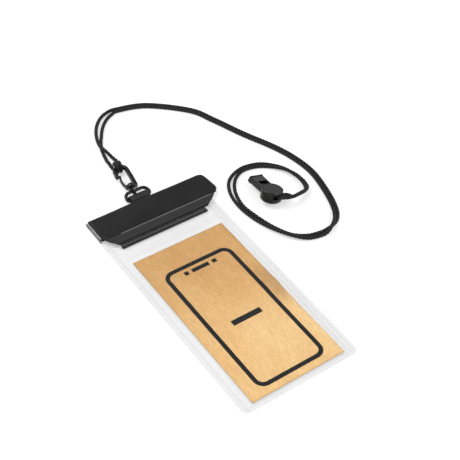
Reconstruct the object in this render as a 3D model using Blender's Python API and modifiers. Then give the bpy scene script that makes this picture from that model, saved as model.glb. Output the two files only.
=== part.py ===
"""Waterproof neck pouch with a printed card inside, laid flat on its back.

The pouch is two welded films with a press seal and a flap folded over the mouth.
A strap under the flap holds a D-ring, a swivel eye and a sprung hook.
A doubled neck cord is hitched to the hook and ends round a post in a whistle.
The origin is at the middle of the card, on the floor; +Y points to the flap.
"""

import math

import bmesh
import bpy
from mathutils import Matrix, Vector

# Driving sizes, in metres
GAP = 0.0003
CARD_WIDTH = 0.092
CARD_LENGTH = 0.1693
CARD_THICK = 0.0005
CARD_BOTTOM = 0.0007
INK_RELIEF = 0.0001
FILM_THICK = 0.0004
FILM_HALF_WIDTH = 0.0571
FILM_CORNER = 0.0065
FILM_BOTTOM = -0.0905
FILM_MOUTH = 0.1205
MOUTH_TO_TAPES = 0.00795
MOUTH_TO_RAILS = 0.0163
MOUTH_TO_FOLD = 0.02155
WELD_HALF_WIDTH = 0.0518
WELD_RISE = 0.006
BACK_LEVEL = 0.0002
FRONT_LEVEL = 0.0009
FOLD_Y = FILM_MOUTH + MOUTH_TO_FOLD
FOLD_Z = 0.00255
FRONT_FOLD_RADIUS = 0.00045
BACK_FOLD_RADIUS = 0.00135
FLAP_FOLD_RADIUS = 0.0023
FOLD_STEPS = 4
TAB_LIFT = 0.0016
FOLD_PULL = 0.7
FLAP_THICK = 0.0005
RAIL_Y = FILM_MOUTH - MOUTH_TO_RAILS
RAIL_WIDTH = 0.0024
RAIL_LENGTH = 0.0884
TAPE_LENGTH = 0.084
TAPE_WIDTH = 0.0075
TAPE_THICK = 0.0006
TAPE_Y = FILM_MOUTH - MOUTH_TO_TAPES
TAB_LEFT = -0.0085
TAB_RIGHT = 0.0109
TAB_TAIL_Y = FOLD_Y - 0.01105
RING_WIRE = 0.0016
RING_BAR = (0.0012, FOLD_Y + 0.00645, 0.0024)
RING_BAR_HALF = 0.0119
RING_BOW_HALF = 0.0109
RING_DEPTH = 0.0080
RING_TILT = math.radians(13.5)
HOOK_PLACE = (-0.0003, RING_BAR[1] + 0.006, 0.0045)
HOOK_TURN = math.radians(-7.7)
HOOK_LIFT = math.radians(1.8)
HOOK_THICK = 0.0042
HOOK_EDGE = 0.0007
STEM_RADIUS = 0.0012
EYE_WIRE = 0.00095
EYE_HALF_LENGTH = 0.00365
EYE_HALF_HEIGHT = 0.00305
GATE_PIVOT = (-0.0037, 0.0076)
GATE_THICK = 0.0012
GATE_WIDTH = 0.0024
PIN_RADIUS = 0.0006
CORD_RADIUS = 0.00155
CORD_PAIR = 0.0038
CORD_START = 0.0425
HITCH_X = -0.0005
HITCH_Z = -0.00395
CORD_POINTS = 80
WHISTLE_PLACE = (0.0999, 0.0839, 0.0029)
WHISTLE_UP = (0.2076, 0.1626, 0.9646)
WHISTLE_FORWARD = (0.106, 0.977, -0.187)
DRUM_RADIUS = 0.0100
DRUM_HEIGHT = 0.0117
CAP_RADIUS = 0.0088
CAP_THICK = 0.0012
CHAMBER_PLACE = (-0.001, 0.0024)
CHAMBER_RADIUS = 0.0056
CHAMBER_FLOOR = 0.0015
PEA_RADIUS = 0.0027
POST_PLACE = (0.0040, -0.0082)
POST_RADIUS = 0.00085
TURN_RADIUS = 0.00285
TURN_LEVEL = 0.0073
TURN_AZIMUTH = math.radians(-8)

# The pair of strands from the hook to the whistle, by hand from the picture:
# x and y of the middle, half the distance between the strands, half turns made
ROUTE = [
    (0.0050, 0.2046, 0.0033, 0.04), (0.0050, 0.2105, 0.0023, 0.16),
    (0.0051, 0.2165, 0.0018, 0.4), (0.0057, 0.2218, 0.0017, 0.6),
    (0.0076, 0.2272, 0.0017, 0.76), (0.0101, 0.2325, 0.0018, 0.9),
    (0.0128, 0.2373, 0.0023, 0.98), (0.0163, 0.2432, 0.0027, 1.0),
    (0.0218, 0.2504, 0.0030, 1.0), (0.0297, 0.2574, 0.0031, 1.0),
    (0.0385, 0.2616, 0.0027, 1.0), (0.0490, 0.2625, 0.0018, 1.0),
    (0.0771, 0.2535, 0.0017, 1.0), (0.1092, 0.2260, 0.0017, 1.0),
    (0.1207, 0.2028, 0.0017, 1.0), (0.1334, 0.1710, 0.0017, 1.0),
    (0.1473, 0.1412, 0.0017, 1.0), (0.1544, 0.1190, 0.0017, 1.0),
    (0.1571, 0.0955, 0.0017, 1.0), (0.1532, 0.0719, 0.0017, 1.0),
    (0.1458, 0.0485, 0.0017, 1.0), (0.1372, 0.0354, 0.0018, 1.2),
    (0.1265, 0.0288, 0.0018, 1.6), (0.1156, 0.0268, 0.0018, 2.0),
    (0.1016, 0.0300, 0.0017, 2.0), (0.0893, 0.0393, 0.0017, 1.8),
    (0.0805, 0.0557, 0.0017, 1.88), (0.0754, 0.0736, 0.0018, 2.0),
    (0.0731, 0.0914, 0.0017, 2.0), (0.0765, 0.1090, 0.0024, 2.0),
    (0.0845, 0.1220, 0.0026, 2.0), (0.0960, 0.1292, 0.0018, 2.0),
    (0.1084, 0.1306, 0.0017, 2.0), (0.1231, 0.1255, 0.0017, 2.0),
    (0.1354, 0.1127, 0.0017, 2.16), (0.1400, 0.1000, 0.0017, 2.31),
    (0.1408, 0.0905, 0.0017, 2.38), (0.1396, 0.0830, 0.0017, 2.5),
    (0.1353, 0.0765, 0.0017, 2.62), (0.1188, 0.0722, 0.0018, 2.69),
]
ROUTE_END_LIFTS = (0.0010, 0.0052)


def clear_scene():
    for obj in list(bpy.data.objects):
        bpy.data.objects.remove(obj, do_unlink=True)


def collection(name, hidden=False):
    made = bpy.data.collections.new(name)
    bpy.context.scene.collection.children.link(made)
    made.hide_render = hidden
    return made


def material(name, color, roughness, metallic=0.0, alpha=1.0):
    made = bpy.data.materials.new(name)
    made.use_nodes = True
    shader = made.node_tree.nodes["Principled BSDF"]
    shader.inputs["Base Color"].default_value = (*color, 1.0)
    shader.inputs["Roughness"].default_value = roughness
    shader.inputs["Metallic"].default_value = metallic
    shader.inputs["Alpha"].default_value = alpha
    made.diffuse_color = (*color, 1.0)
    return made


def smooth(value):
    value = min(1.0, max(0.0, value))
    return value * value * (3.0 - 2.0 * value)


def add_object(name, data, matrix=None):
    obj = bpy.data.objects.new(name, data)
    obj.matrix_world = matrix or Matrix.Identity(4)
    PARTS.objects.link(obj)
    return obj


def mesh_object(name, bm, matrix=None):
    mesh = bpy.data.meshes.new(name)
    bm.to_mesh(mesh)
    bm.free()
    return add_object(name, mesh, matrix)


def as_mesh(source):
    """Replace a curve, or a mesh with modifiers, by the closed mesh it makes."""
    bpy.context.view_layer.update()
    graph = bpy.context.evaluated_depsgraph_get()
    mesh = bpy.data.meshes.new_from_object(source.evaluated_get(graph))
    bm = bmesh.new()
    bm.from_mesh(mesh)
    bmesh.ops.remove_doubles(bm, verts=bm.verts, dist=0.00001)
    bmesh.ops.recalc_face_normals(bm, faces=bm.faces)
    bm.to_mesh(mesh)
    bm.free()
    name = source.name
    matrix = source.matrix_world.copy()
    bpy.data.objects.remove(source, do_unlink=True)
    return add_object(name, mesh, matrix)


def finish(obj, look, smooth_angle=None):
    obj.data.materials.clear()
    obj.data.materials.append(look)
    if smooth_angle:
        obj.data.shade_smooth()
        obj.data.set_sharp_from_angle(angle=math.radians(smooth_angle))
    return obj


def boolean(obj, cutter, operation="DIFFERENCE"):
    CUTTERS.objects.link(cutter)
    PARTS.objects.unlink(cutter)
    cutter.hide_render = True
    cutter.display_type = "WIRE"
    cut = obj.modifiers.new(cutter.name, "BOOLEAN")
    cut.operation = operation
    cut.solver = "EXACT"
    cut.object = cutter
    return cut


def box(name, low, high, matrix=None):
    bm = bmesh.new()
    bmesh.ops.create_cube(bm, size=1.0)
    size = Vector(high) - Vector(low)
    middle = (Vector(high) + Vector(low)) / 2
    for vert in bm.verts:
        vert.co = middle + Vector(v * s for v, s in zip(vert.co, size))
    return mesh_object(name, bm, matrix)


def cylinder(name, radius, low, high, matrix=None, segments=24):
    """A round bar along local Z, from low to high."""
    bm = bmesh.new()
    bmesh.ops.create_cone(bm, cap_ends=True, segments=segments, radius1=radius,
                          radius2=radius, depth=high - low)
    bmesh.ops.translate(bm, verts=bm.verts, vec=(0, 0, (high + low) / 2))
    return mesh_object(name, bm, matrix)


def turned(name, profile, matrix=None, segments=40):
    """A profile of (radius, height) points turned once round local Z."""
    bm = bmesh.new()
    verts = [bm.verts.new((radius, 0, height)) for radius, height in profile]
    for first, second in zip(verts, verts[1:]):
        bm.edges.new((first, second))
    if profile[0][0] > 0:
        bm.edges.new((verts[-1], verts[0]))
    obj = mesh_object(name, bm, matrix)
    screw = obj.modifiers.new("turn", "SCREW")
    screw.steps = segments
    screw.render_steps = segments
    screw.use_merge_vertices = True
    screw.merge_threshold = 0.00001
    return as_mesh(obj)


def arc(centre, radius, start, end, steps):
    """Points on an arc, in degrees, both ends included."""
    angles = [math.radians(start + (end - start) * i / steps) for i in range(steps + 1)]
    return [(centre[0] + radius * math.cos(a), centre[1] + radius * math.sin(a)) for a in angles]


def rounded(corners, radii, steps=4):
    """The closed outline through corners, each rounded with its radius."""
    outline = []
    for i, (corner, radius) in enumerate(zip(corners, radii)):
        here = Vector(corner)
        before = (Vector(corners[i - 1]) - here).normalized()
        after = (Vector(corners[(i + 1) % len(corners)]) - here).normalized()
        half = before.angle(after) / 2
        reach = radius / math.tan(half)
        start = here + before * reach
        end = here + after * reach
        middle = here + (before + after).normalized() * (radius / math.sin(half))
        first = (start - middle).normalized()
        last = (end - middle).normalized()
        outline += [tuple(middle + radius * first.slerp(last, k / steps)) for k in range(steps + 1)]
    return outline


def plate(name, outlines, thick, edge=0.0, matrix=None):
    """A flat outline, with any holes, given a thickness and rounded edges."""
    curve = bpy.data.curves.new(name, "CURVE")
    curve.dimensions = "2D"
    curve.fill_mode = "BOTH"
    curve.extrude = thick / 2 - edge
    curve.bevel_depth = edge
    curve.bevel_resolution = 1
    curve.offset = -edge
    for outline in outlines:
        spline = curve.splines.new("POLY")
        spline.points.add(len(outline) - 1)
        for point, (x, y) in zip(spline.points, outline):
            point.co = (x, y, 0, 1)
        spline.use_cyclic_u = True
    return as_mesh(add_object(name, curve, matrix))


def tube(name, points, radius, closed=False, resolution=2, matrix=None):
    """A round wire or cord through points, with filled ends."""
    curve = bpy.data.curves.new(name, "CURVE")
    curve.dimensions = "3D"
    curve.bevel_depth = radius
    curve.bevel_resolution = resolution
    curve.use_fill_caps = not closed
    spline = curve.splines.new("POLY")
    spline.points.add(len(points) - 1)
    for point, place in zip(spline.points, points):
        point.co = (*place, 1)
    spline.use_cyclic_u = closed
    return as_mesh(add_object(name, curve, matrix))


def sheet(name, rows, columns, place, thick, look):
    """A grid laid by place(row, column) and thickened to both sides."""
    bm = bmesh.new()
    bmesh.ops.create_grid(bm, x_segments=len(columns) - 1, y_segments=len(rows) - 1, size=0.5)
    for vert in bm.verts:
        column = round((vert.co.x + 0.5) * (len(columns) - 1))
        row = round((vert.co.y + 0.5) * (len(rows) - 1))
        vert.co = place(rows[row], columns[column])
    obj = mesh_object(name, bm)
    wall = obj.modifiers.new("wall", "SOLIDIFY")
    wall.thickness = thick
    wall.offset = 0.0
    wall.use_even_offset = True
    return finish(as_mesh(obj), look, 40)


def curve_through(points, steps):
    """A smooth curve through points of any length, as Catmull-Rom spans."""
    padded = [points[0]] + list(points) + [points[-1]]
    made = []
    for a, b, c, d in zip(padded, padded[1:], padded[2:], padded[3:]):
        for k in range(steps):
            t = k / steps
            made.append(tuple(
                0.5 * (2 * q + (r - p) * t + (2 * p - 5 * q + 4 * r - s) * t * t
                       + (3 * q - p - 3 * r + s) * t ** 3)
                for p, q, r, s in zip(a, b, c, d)))
    made.append(tuple(points[-1]))
    return made


def hook_frame():
    turn = Matrix.Rotation(HOOK_TURN, 4, "Z")
    lift = Matrix.Rotation(HOOK_LIFT, 4, "X")
    return Matrix.Translation(HOOK_PLACE) @ turn @ lift


def along_hook():
    """The frame whose local Z runs along the hook's swivel axis."""
    return hook_frame() @ Matrix.Rotation(math.radians(-90), 4, "X")


def whistle_frame():
    up = Vector(WHISTLE_UP).normalized()
    side = Vector(WHISTLE_FORWARD).cross(up).normalized()
    forward = up.cross(side)
    turn = Matrix((side, forward, up)).transposed().to_4x4()
    return Matrix.Translation(WHISTLE_PLACE) @ turn


# The pouch

def neck_lift(x, y):
    """How far the strap's tails lift the layers that lie on them."""
    left = smooth((x + 0.040) / 0.027)
    right = smooth((0.044 - x) / 0.027)
    return TAB_LIFT * min(left, right) * smooth((y - TAB_TAIL_Y + 0.013) / 0.011)


def fold_rows(radius, level_below, ramp_z, width=None):
    """The rows of one layer round the fold, from its ramp to its mouth."""
    rows = [(y, z, width) for y, z in ramp_z]
    between = [y for y in (TAB_TAIL_Y - 0.007, TAB_TAIL_Y - 0.002) if y > FILM_MOUTH] + [FOLD_Y]
    rows += [(y, level_below, width) for y in between]
    for k in range(1, FOLD_STEPS):
        angle = math.pi * (k / FOLD_STEPS - 0.5)
        rows.append((FOLD_Y + radius * math.cos(angle), FOLD_Z + radius * math.sin(angle), width))
    rows += [(y, FOLD_Z + radius, width) for y in between[::-1] + [FILM_MOUTH]]
    return rows


def film_half_width(y):
    inside = FILM_BOTTOM + FILM_CORNER - y
    if inside <= 0:
        return FILM_HALF_WIDTH
    return FILM_HALF_WIDTH - FILM_CORNER + math.sqrt(max(0.0, FILM_CORNER ** 2 - inside ** 2))


def film_point(row, column):
    y, z, rise = row
    x = column * film_half_width(y) / FILM_HALF_WIDTH
    crown = smooth((WELD_HALF_WIDTH - abs(column)) / WELD_RISE)
    lift = neck_lift(x, y)
    return x, y - FOLD_PULL * lift, z + (rise or 0.0) * crown + lift


def make_films():
    half = FILM_HALF_WIDTH
    columns = [-half, -0.0400, -0.0265, -0.013, 0.002, 0.017, 0.0305, 0.044, half]
    flat_end, ramp_start, ramp_end = FILM_MOUTH - 0.004, FILM_MOUTH - 0.0021, FILM_MOUTH - 0.0003
    corner = [FILM_BOTTOM + step for step in (0, 0.0004, 0.002, FILM_CORNER)]
    rows = [(y, BACK_LEVEL, 0.0) for y in corner + [0.0, flat_end]]
    ramp = [(ramp_start, 0.0007), (ramp_end, FOLD_Z - BACK_FOLD_RADIUS)]
    rows += fold_rows(BACK_FOLD_RADIUS, FOLD_Z - BACK_FOLD_RADIUS, ramp)
    sheet("back_film", rows, columns, film_point, FILM_THICK, CLEAR_BACK)

    edge = [WELD_HALF_WIDTH - step for step in (0, 0.4 * WELD_RISE, 0.0052)]
    columns = sorted(columns + edge + [-x for x in edge])
    # y of a row and how far the film stands above its weld there
    weld, card_end = FILM_BOTTOM, CARD_LENGTH / 2
    puff = [(weld, 0), (weld + 0.0004, 0), (weld + 0.0023, 0), (weld + 0.0041, 0.00075),
            (weld + 0.0056, 0.0012), (-0.081, 0.0016), (-0.060, 0.0019), (-0.030, 0.0022),
            (0.0, 0.0019), (0.030, 0.0022), (0.060, 0.0019), (card_end - 0.00465, 0.0016),
            (card_end + 0.00025, 0.0015), (card_end + 0.00285, 0.0023),
            (card_end + 0.00635, 0.0014)]
    over_rails = [(RAIL_Y - 0.0072, 0.0012), (RAIL_Y - 0.0022, 0.00195),
                  (RAIL_Y + 0.0022, 0.00195), (RAIL_Y + 0.0043, 0), (flat_end, 0)]
    puff = [row for row in puff if row[0] < over_rails[0][0]] + over_rails
    rows = [(y, FRONT_LEVEL, rise) for y, rise in puff]
    ramp = [(ramp_start, 0.0015), (ramp_end, FOLD_Z - FRONT_FOLD_RADIUS)]
    rows += fold_rows(FRONT_FOLD_RADIUS, FOLD_Z - FRONT_FOLD_RADIUS, ramp)
    sheet("front_film", rows, columns, film_point, FILM_THICK, CLEAR_FRONT)


def make_card():
    half_width = CARD_WIDTH / 2
    half_length = CARD_LENGTH / 2
    top = CARD_BOTTOM + CARD_THICK
    card = box("insert_card", (-half_width, -half_length, CARD_BOTTOM),
               (half_width, half_length, top))
    left, right, upper, lower = -0.0339, 0.0345, 0.06015, -0.07805
    corners = [(left, lower), (right, lower), (right, upper), (left, upper)]
    stroke = 0.0039
    inner = [(left + stroke, lower + stroke), (right - stroke, lower + stroke),
             (right - stroke, upper - stroke), (left + stroke, upper - stroke)]
    ink = 0.0003
    lift = Matrix.Translation((0, 0, top + INK_RELIEF - ink / 2))
    outline = plate("phone_outline", [rounded(corners, [0.0095] * 4),
                                      rounded(inner, [0.0058] * 4)], ink, matrix=lift)
    boolean(card, outline, "UNION")
    marks = {"left_square": (-0.0161, 0.04925, -0.012, 0.05325),
             "right_square": (0.0122, 0.04925, 0.0166, 0.05325),
             "top_bar": (-0.0085, 0.04925, 0.0087, 0.05325),
             "label_bar": (-0.0133, -0.01615, 0.0158, -0.01075)}
    for name, (x0, y0, x1, y1) in marks.items():
        mark = box(name, (x0, y0, top + INK_RELIEF - ink), (x1, y1, top + INK_RELIEF))
        boolean(card, mark, "UNION")
    finish(card, KRAFT)


def make_rails():
    """Two press-seal profiles: a groove below and a rib above that enters it."""
    half = RAIL_WIDTH / 2
    groove, depth, rib = 0.00055, 0.0005, 0.00025
    below = [(-half, 0), (half, 0), (half, 0.0009), (groove, 0.0009), (groove, 0.0009 - depth),
             (-groove, 0.0009 - depth), (-groove, 0.0009), (-half, 0.0009)]
    above = [(-half, 0), (-rib, 0), (-rib, -depth), (rib, -depth), (rib, 0), (half, 0),
             (half, 0.0004), (-half, 0.0004)]
    on_end = Matrix.Rotation(math.radians(90), 4, "Z") @ Matrix.Rotation(math.radians(90), 4, "X")
    low = Matrix.Translation((0, RAIL_Y, CARD_BOTTOM)) @ on_end
    high = Matrix.Translation((0, RAIL_Y, CARD_BOTTOM + 0.0009 + GAP)) @ on_end
    finish(plate("seal_groove_rail", [below], RAIL_LENGTH, matrix=low), BLACK_SEAL_LOW)
    finish(plate("seal_rib_rail", [above], RAIL_LENGTH, matrix=high), BLACK_SEAL_HIGH)


def make_tapes():
    loop_bottom = FRONT_LEVEL + FILM_THICK / 2 + GAP
    hook_bottom = loop_bottom + TAPE_THICK + GAP
    for name, bottom, look in (("loop_tape", loop_bottom, LOOP), ("hook_tape", hook_bottom, HOOKS)):
        half = TAPE_WIDTH / 2
        tape = box(name, (-TAPE_LENGTH / 2, TAPE_Y - half, bottom),
                   (TAPE_LENGTH / 2, TAPE_Y + half, bottom + TAPE_THICK))
        edge = tape.modifiers.new("edge", "BEVEL")
        edge.width = 0.00012
        edge.segments = 1
        finish(tape, look)


def flap_point(row, column):
    y, z, (left, right) = row
    x = left + (right - left) * column
    lift = neck_lift(x, y)
    return x, y - FOLD_PULL * lift, z + lift


def make_flap():
    wide = (-0.0545, 0.0625)
    level = FOLD_Z - FLAP_FOLD_RADIUS
    rows = fold_rows(FLAP_FOLD_RADIUS, level, [(FILM_MOUTH, level)], wide)
    upper = FOLD_Z + FLAP_FOLD_RADIUS
    # Distance past the mouth, height, left and right end
    front = [(0.0015, upper, (-0.0540, 0.0612)), (0.0023, upper, (-0.0533, 0.0597)),
             (0.0050, 0.00345, (-0.0515, 0.0565)), (0.0085, 0.00345, (-0.0492, 0.0528)),
             (0.0119, 0.00345, (-0.0472, 0.0492)), (0.0125, 0.00345, (-0.0460, 0.0480))]
    rows += [(FILM_MOUTH - past, z, ends) for past, z, ends in front]
    left, right = wide
    marks = (-0.0400, -0.0265, -0.013, 0.002, 0.017, 0.0305, 0.044)
    columns = [0.0] + [(x - left) / (right - left) for x in marks] + [1.0]
    sheet("closure_flap", rows, columns, flap_point, FLAP_THICK, FLAP)


def make_tab():
    """The strap: two tails under the flap and a loop round the ring's bar."""
    _, bar_y, bar_z = RING_BAR
    radius = RING_WIRE + GAP + FLAP_THICK / 2
    low = bar_z - radius
    high = low + FLAP_THICK + GAP
    rows = [(TAB_TAIL_Y, low)]
    rows += arc((bar_y, bar_z), radius, -90, 135, 7)
    rows += [(bar_y - 0.0029, 0.00255), (bar_y - 0.0040, 0.0016), (bar_y - 0.0051, 0.00112),
             (bar_y - 0.0061, high), (TAB_TAIL_Y, high)]
    sheet("ring_tab", rows, [TAB_LEFT, TAB_RIGHT], lambda row, x: (x, row[0], row[1]),
          FLAP_THICK, TAB)


# The ring, the eye and the hook

def make_ring():
    corners = [(-RING_BAR_HALF, 0), (RING_BAR_HALF, 0),
               (RING_BOW_HALF, RING_DEPTH), (-RING_BOW_HALF, RING_DEPTH)]
    outline = rounded(corners, [0.0021, 0.0021, 0.0050, 0.0050], 5)
    place = Matrix.Translation(RING_BAR) @ Matrix.Rotation(RING_TILT, 4, "X")
    ring = tube("d_ring", [(x, y, 0) for x, y in outline], RING_WIRE, True, 3, place)
    finish(ring, RING, 50)


def make_eye():
    """A loop round the ring's bow, with the stem and head that turn in the hook."""
    count = 24
    middle = 0.001
    points = []
    for k in range(count):
        angle = 2 * math.pi * k / count
        points.append((0, middle + EYE_HALF_LENGTH * math.cos(angle), EYE_HALF_HEIGHT * math.sin(angle)))
    eye = tube("swivel_eye", points, EYE_WIRE, True, 2, hook_frame())
    profile = [(0, 0.0041), (STEM_RADIUS, 0.0041), (STEM_RADIUS, 0.0095), (0.0019, 0.0095),
               (0.0019, 0.0104), (0.0017, 0.0106), (0, 0.0106)]
    boolean(eye, turned("eye_stem", profile, along_hook(), 20), "UNION")
    finish(eye, EYE, 40)


def hook_outline():
    """The C-shaped bar from its base round the arch to the nose, left side open."""
    points = [(-0.0042, 0.0059), (0.0046, 0.0059), (0.0049, 0.0090), (0.00585, 0.0260)]
    points += arc((-0.0004, 0.0298), 0.0063, 0, 180, 18)
    points += [(-0.0067, 0.0216), (-0.0048, 0.0216)]
    points += arc((-0.0003, 0.0296), 0.0040, 180, 0, 12)
    points += [(0.00285, 0.0125), (0.00285, 0.0092), (-0.0046, 0.0092), (-0.0052, 0.0086),
               (-0.0052, 0.0068)]
    return points


def make_hook():
    frame = hook_frame()
    hook = plate("snap_hook", [hook_outline()], HOOK_THICK, HOOK_EDGE, frame)
    profile = [(0, 0.0059), (0.0031, 0.0059), (0.0036, 0.0064), (0.0036, 0.0088),
               (0.0031, 0.0093), (0, 0.0093)]
    boolean(hook, turned("hook_barrel", profile, along_hook(), 28), "UNION")
    bore = cylinder("stem_bore", STEM_RADIUS + GAP, 0.005, 0.010, along_hook())
    boolean(hook, bore)
    slot = GATE_WIDTH / 2 + GAP
    boolean(hook, box("gate_slot", (-0.007, 0.005, -slot), (-0.0021, 0.010, slot), frame))
    pivot = frame @ Matrix.Translation((*GATE_PIVOT, 0))
    hole = cylinder("pin_hole", PIN_RADIUS + GAP, -0.003, 0.003, pivot, 16)
    boolean(hook, hole)
    finish(hook, HOOK, 35)


def make_gate():
    """A bowed strip on a knuckle, with its origin on the pin."""
    knuckle = 0.0013
    half = GATE_THICK / 2
    centre = [(0, 0), (-0.0013, 0.0034), (-0.0016, 0.0074), (-0.0011, 0.0109),
              (-0.00005, 0.0134), (0, 0.0150)]
    path = [Vector(point) for point in curve_through(centre, 3)][3:]
    left, right = [], []
    for before, here, after in zip(path, path[1:], path[2:] + path[-1:]):
        side = (after - before).orthogonal().normalized() * half
        left.append(tuple(here + side))
        right.append(tuple(here - side))
    heading = math.degrees(math.atan2(centre[1][1], centre[1][0]))
    spread = math.degrees(math.asin(half / knuckle))
    outline = arc((0, 0), knuckle, heading + spread, heading - spread + 360, 14)
    outline += right + left[::-1]
    hole = arc((0, 0), PIN_RADIUS + GAP, 0, 330, 11)
    place = hook_frame() @ Matrix.Translation((*GATE_PIVOT, 0))
    gate = plate("hook_gate", [outline, hole], GATE_WIDTH, 0.0, place)
    finish(gate, GATE, 40)
    pin = cylinder("gate_pin", PIN_RADIUS, -HOOK_THICK / 2, HOOK_THICK / 2, place, 16)
    finish(pin, PIN, 40)


# The cord

def make_hitch():
    """The doubled cord under the arch, up through the hook, over and across itself."""
    half = [(-CORD_PAIR, 0.0420, HITCH_Z), (-0.0034, 0.0384, HITCH_Z), (-0.0022, 0.0343, HITCH_Z),
            (-0.00165, 0.0316, -0.0031), (-0.00165, 0.0308, 0), (-0.00165, 0.0318, 0.0029),
            (-0.00165, 0.0346, 0.00402), (-0.0019, 0.0368, 0.0037), (-0.0024, 0.0381, 0.0021),
            (-0.0022, 0.0385, 0.0006), (-0.0012, 0.0386, -0.0002)]
    route = half + [(0, 0.0386, -0.0004)] + [(-x, y, z) for x, y, z in reversed(half)]
    route = [(x + HITCH_X, y, z) for x, y, z in route]
    points = curve_through(route, 2)
    finish(tube("cord_hitch", points, CORD_RADIUS, matrix=hook_frame()), HITCH, 60)


def turn_points():
    """The U round the whistle's post, from the outer strand to the inner one."""
    out = Vector((math.cos(TURN_AZIMUTH), math.sin(TURN_AZIMUTH), 0))
    start = math.degrees(TURN_AZIMUTH) - 90
    bend = arc(POST_PLACE, TURN_RADIUS, start, start - 180, 12)
    points = [Vector((x, y, TURN_LEVEL)) for x, y in bend]
    frame = whistle_frame()
    points = [points[0] + out * 0.005] + points + [points[-1] + out * 0.006]
    return [frame @ point for point in points]


def sample(points, weights, count):
    """Pick count points so that each step covers the same weight."""
    total = [0.0]
    for a, b, wa, wb in zip(points, points[1:], weights, weights[1:]):
        total.append(total[-1] + (b - a).length + 0.008 * abs(wb - wa) * math.pi)
    made = []
    i = 0
    for k in range(count):
        goal = total[-1] * k / (count - 1)
        while i < len(total) - 2 and total[i + 1] < goal:
            i += 1
        part = (goal - total[i]) / max(1e-12, total[i + 1] - total[i])
        made.append(points[i].lerp(points[i + 1], part))
    return made


def strand_points(side):
    """One strand of the pair, side +1 or -1, from the hitch to the whistle."""
    frame = hook_frame()
    start = frame @ Vector((HITCH_X, CORD_START, HITCH_Z))
    next_place = frame @ Vector((HITCH_X, CORD_START + 0.004, HITCH_Z))
    route = [(start.x, start.y, CORD_PAIR, 0.0, start.z)]
    route.append((next_place.x, next_place.y, CORD_PAIR, 0.0, (start.z + CORD_RADIUS) / 2))
    for number, (x, y, spread, turns) in enumerate(ROUTE):
        left = len(ROUTE) - number
        lift = ROUTE_END_LIFTS[-left] if left <= len(ROUTE_END_LIFTS) else 0.0
        rise = spread * abs(math.sin(math.pi * turns))
        route.append((x, y, spread, turns, CORD_RADIUS + rise + lift))
    dense = curve_through(route, 12)
    points, weights = [], []
    for before, here, after in zip(dense[:1] + dense, dense, dense[1:] + dense[-1:]):
        heading = Vector((after[0] - before[0], after[1] - before[1], 0)).normalized()
        right = Vector((heading.y, -heading.x, 0))
        x, y, spread, turns, _ = here
        angle = math.pi * turns
        offset = right * math.cos(angle) + Vector((0, 0, math.sin(angle)))
        height = max(here[4], CORD_RADIUS + spread * abs(math.sin(angle)))
        points.append(Vector((x, y, height)) + side * spread * offset)
        weights.append(turns)
    turn = turn_points()
    goal, inner = (turn[0], turn[1]) if side > 0 else (turn[-1], turn[-2])
    out = (goal - inner).normalized()
    goal = goal + out * 2 * GAP
    first, tangent = points[-1], (points[-1] - points[-2]).normalized()
    reach = (goal - first).length
    for k in range(1, 13):
        t = k / 12
        a = 2 * t ** 3 - 3 * t * t + 1
        b = t ** 3 - 2 * t * t + t
        c = -2 * t ** 3 + 3 * t * t
        d = t ** 3 - t * t
        points.append(first * a + tangent * reach * b + goal * c - out * reach * d)
        weights.append(weights[-1])
    return sample(points, weights, CORD_POINTS)


def make_cords():
    for number, side, look in ((1, 1, CORD_ONE), (2, -1, CORD_TWO)):
        cord = tube(f"neck_cord_{number}", strand_points(side), CORD_RADIUS)
        finish(cord, look, 60)
    finish(tube("cord_turn", turn_points(), CORD_RADIUS), CORD_TURN, 60)


# The whistle

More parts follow.
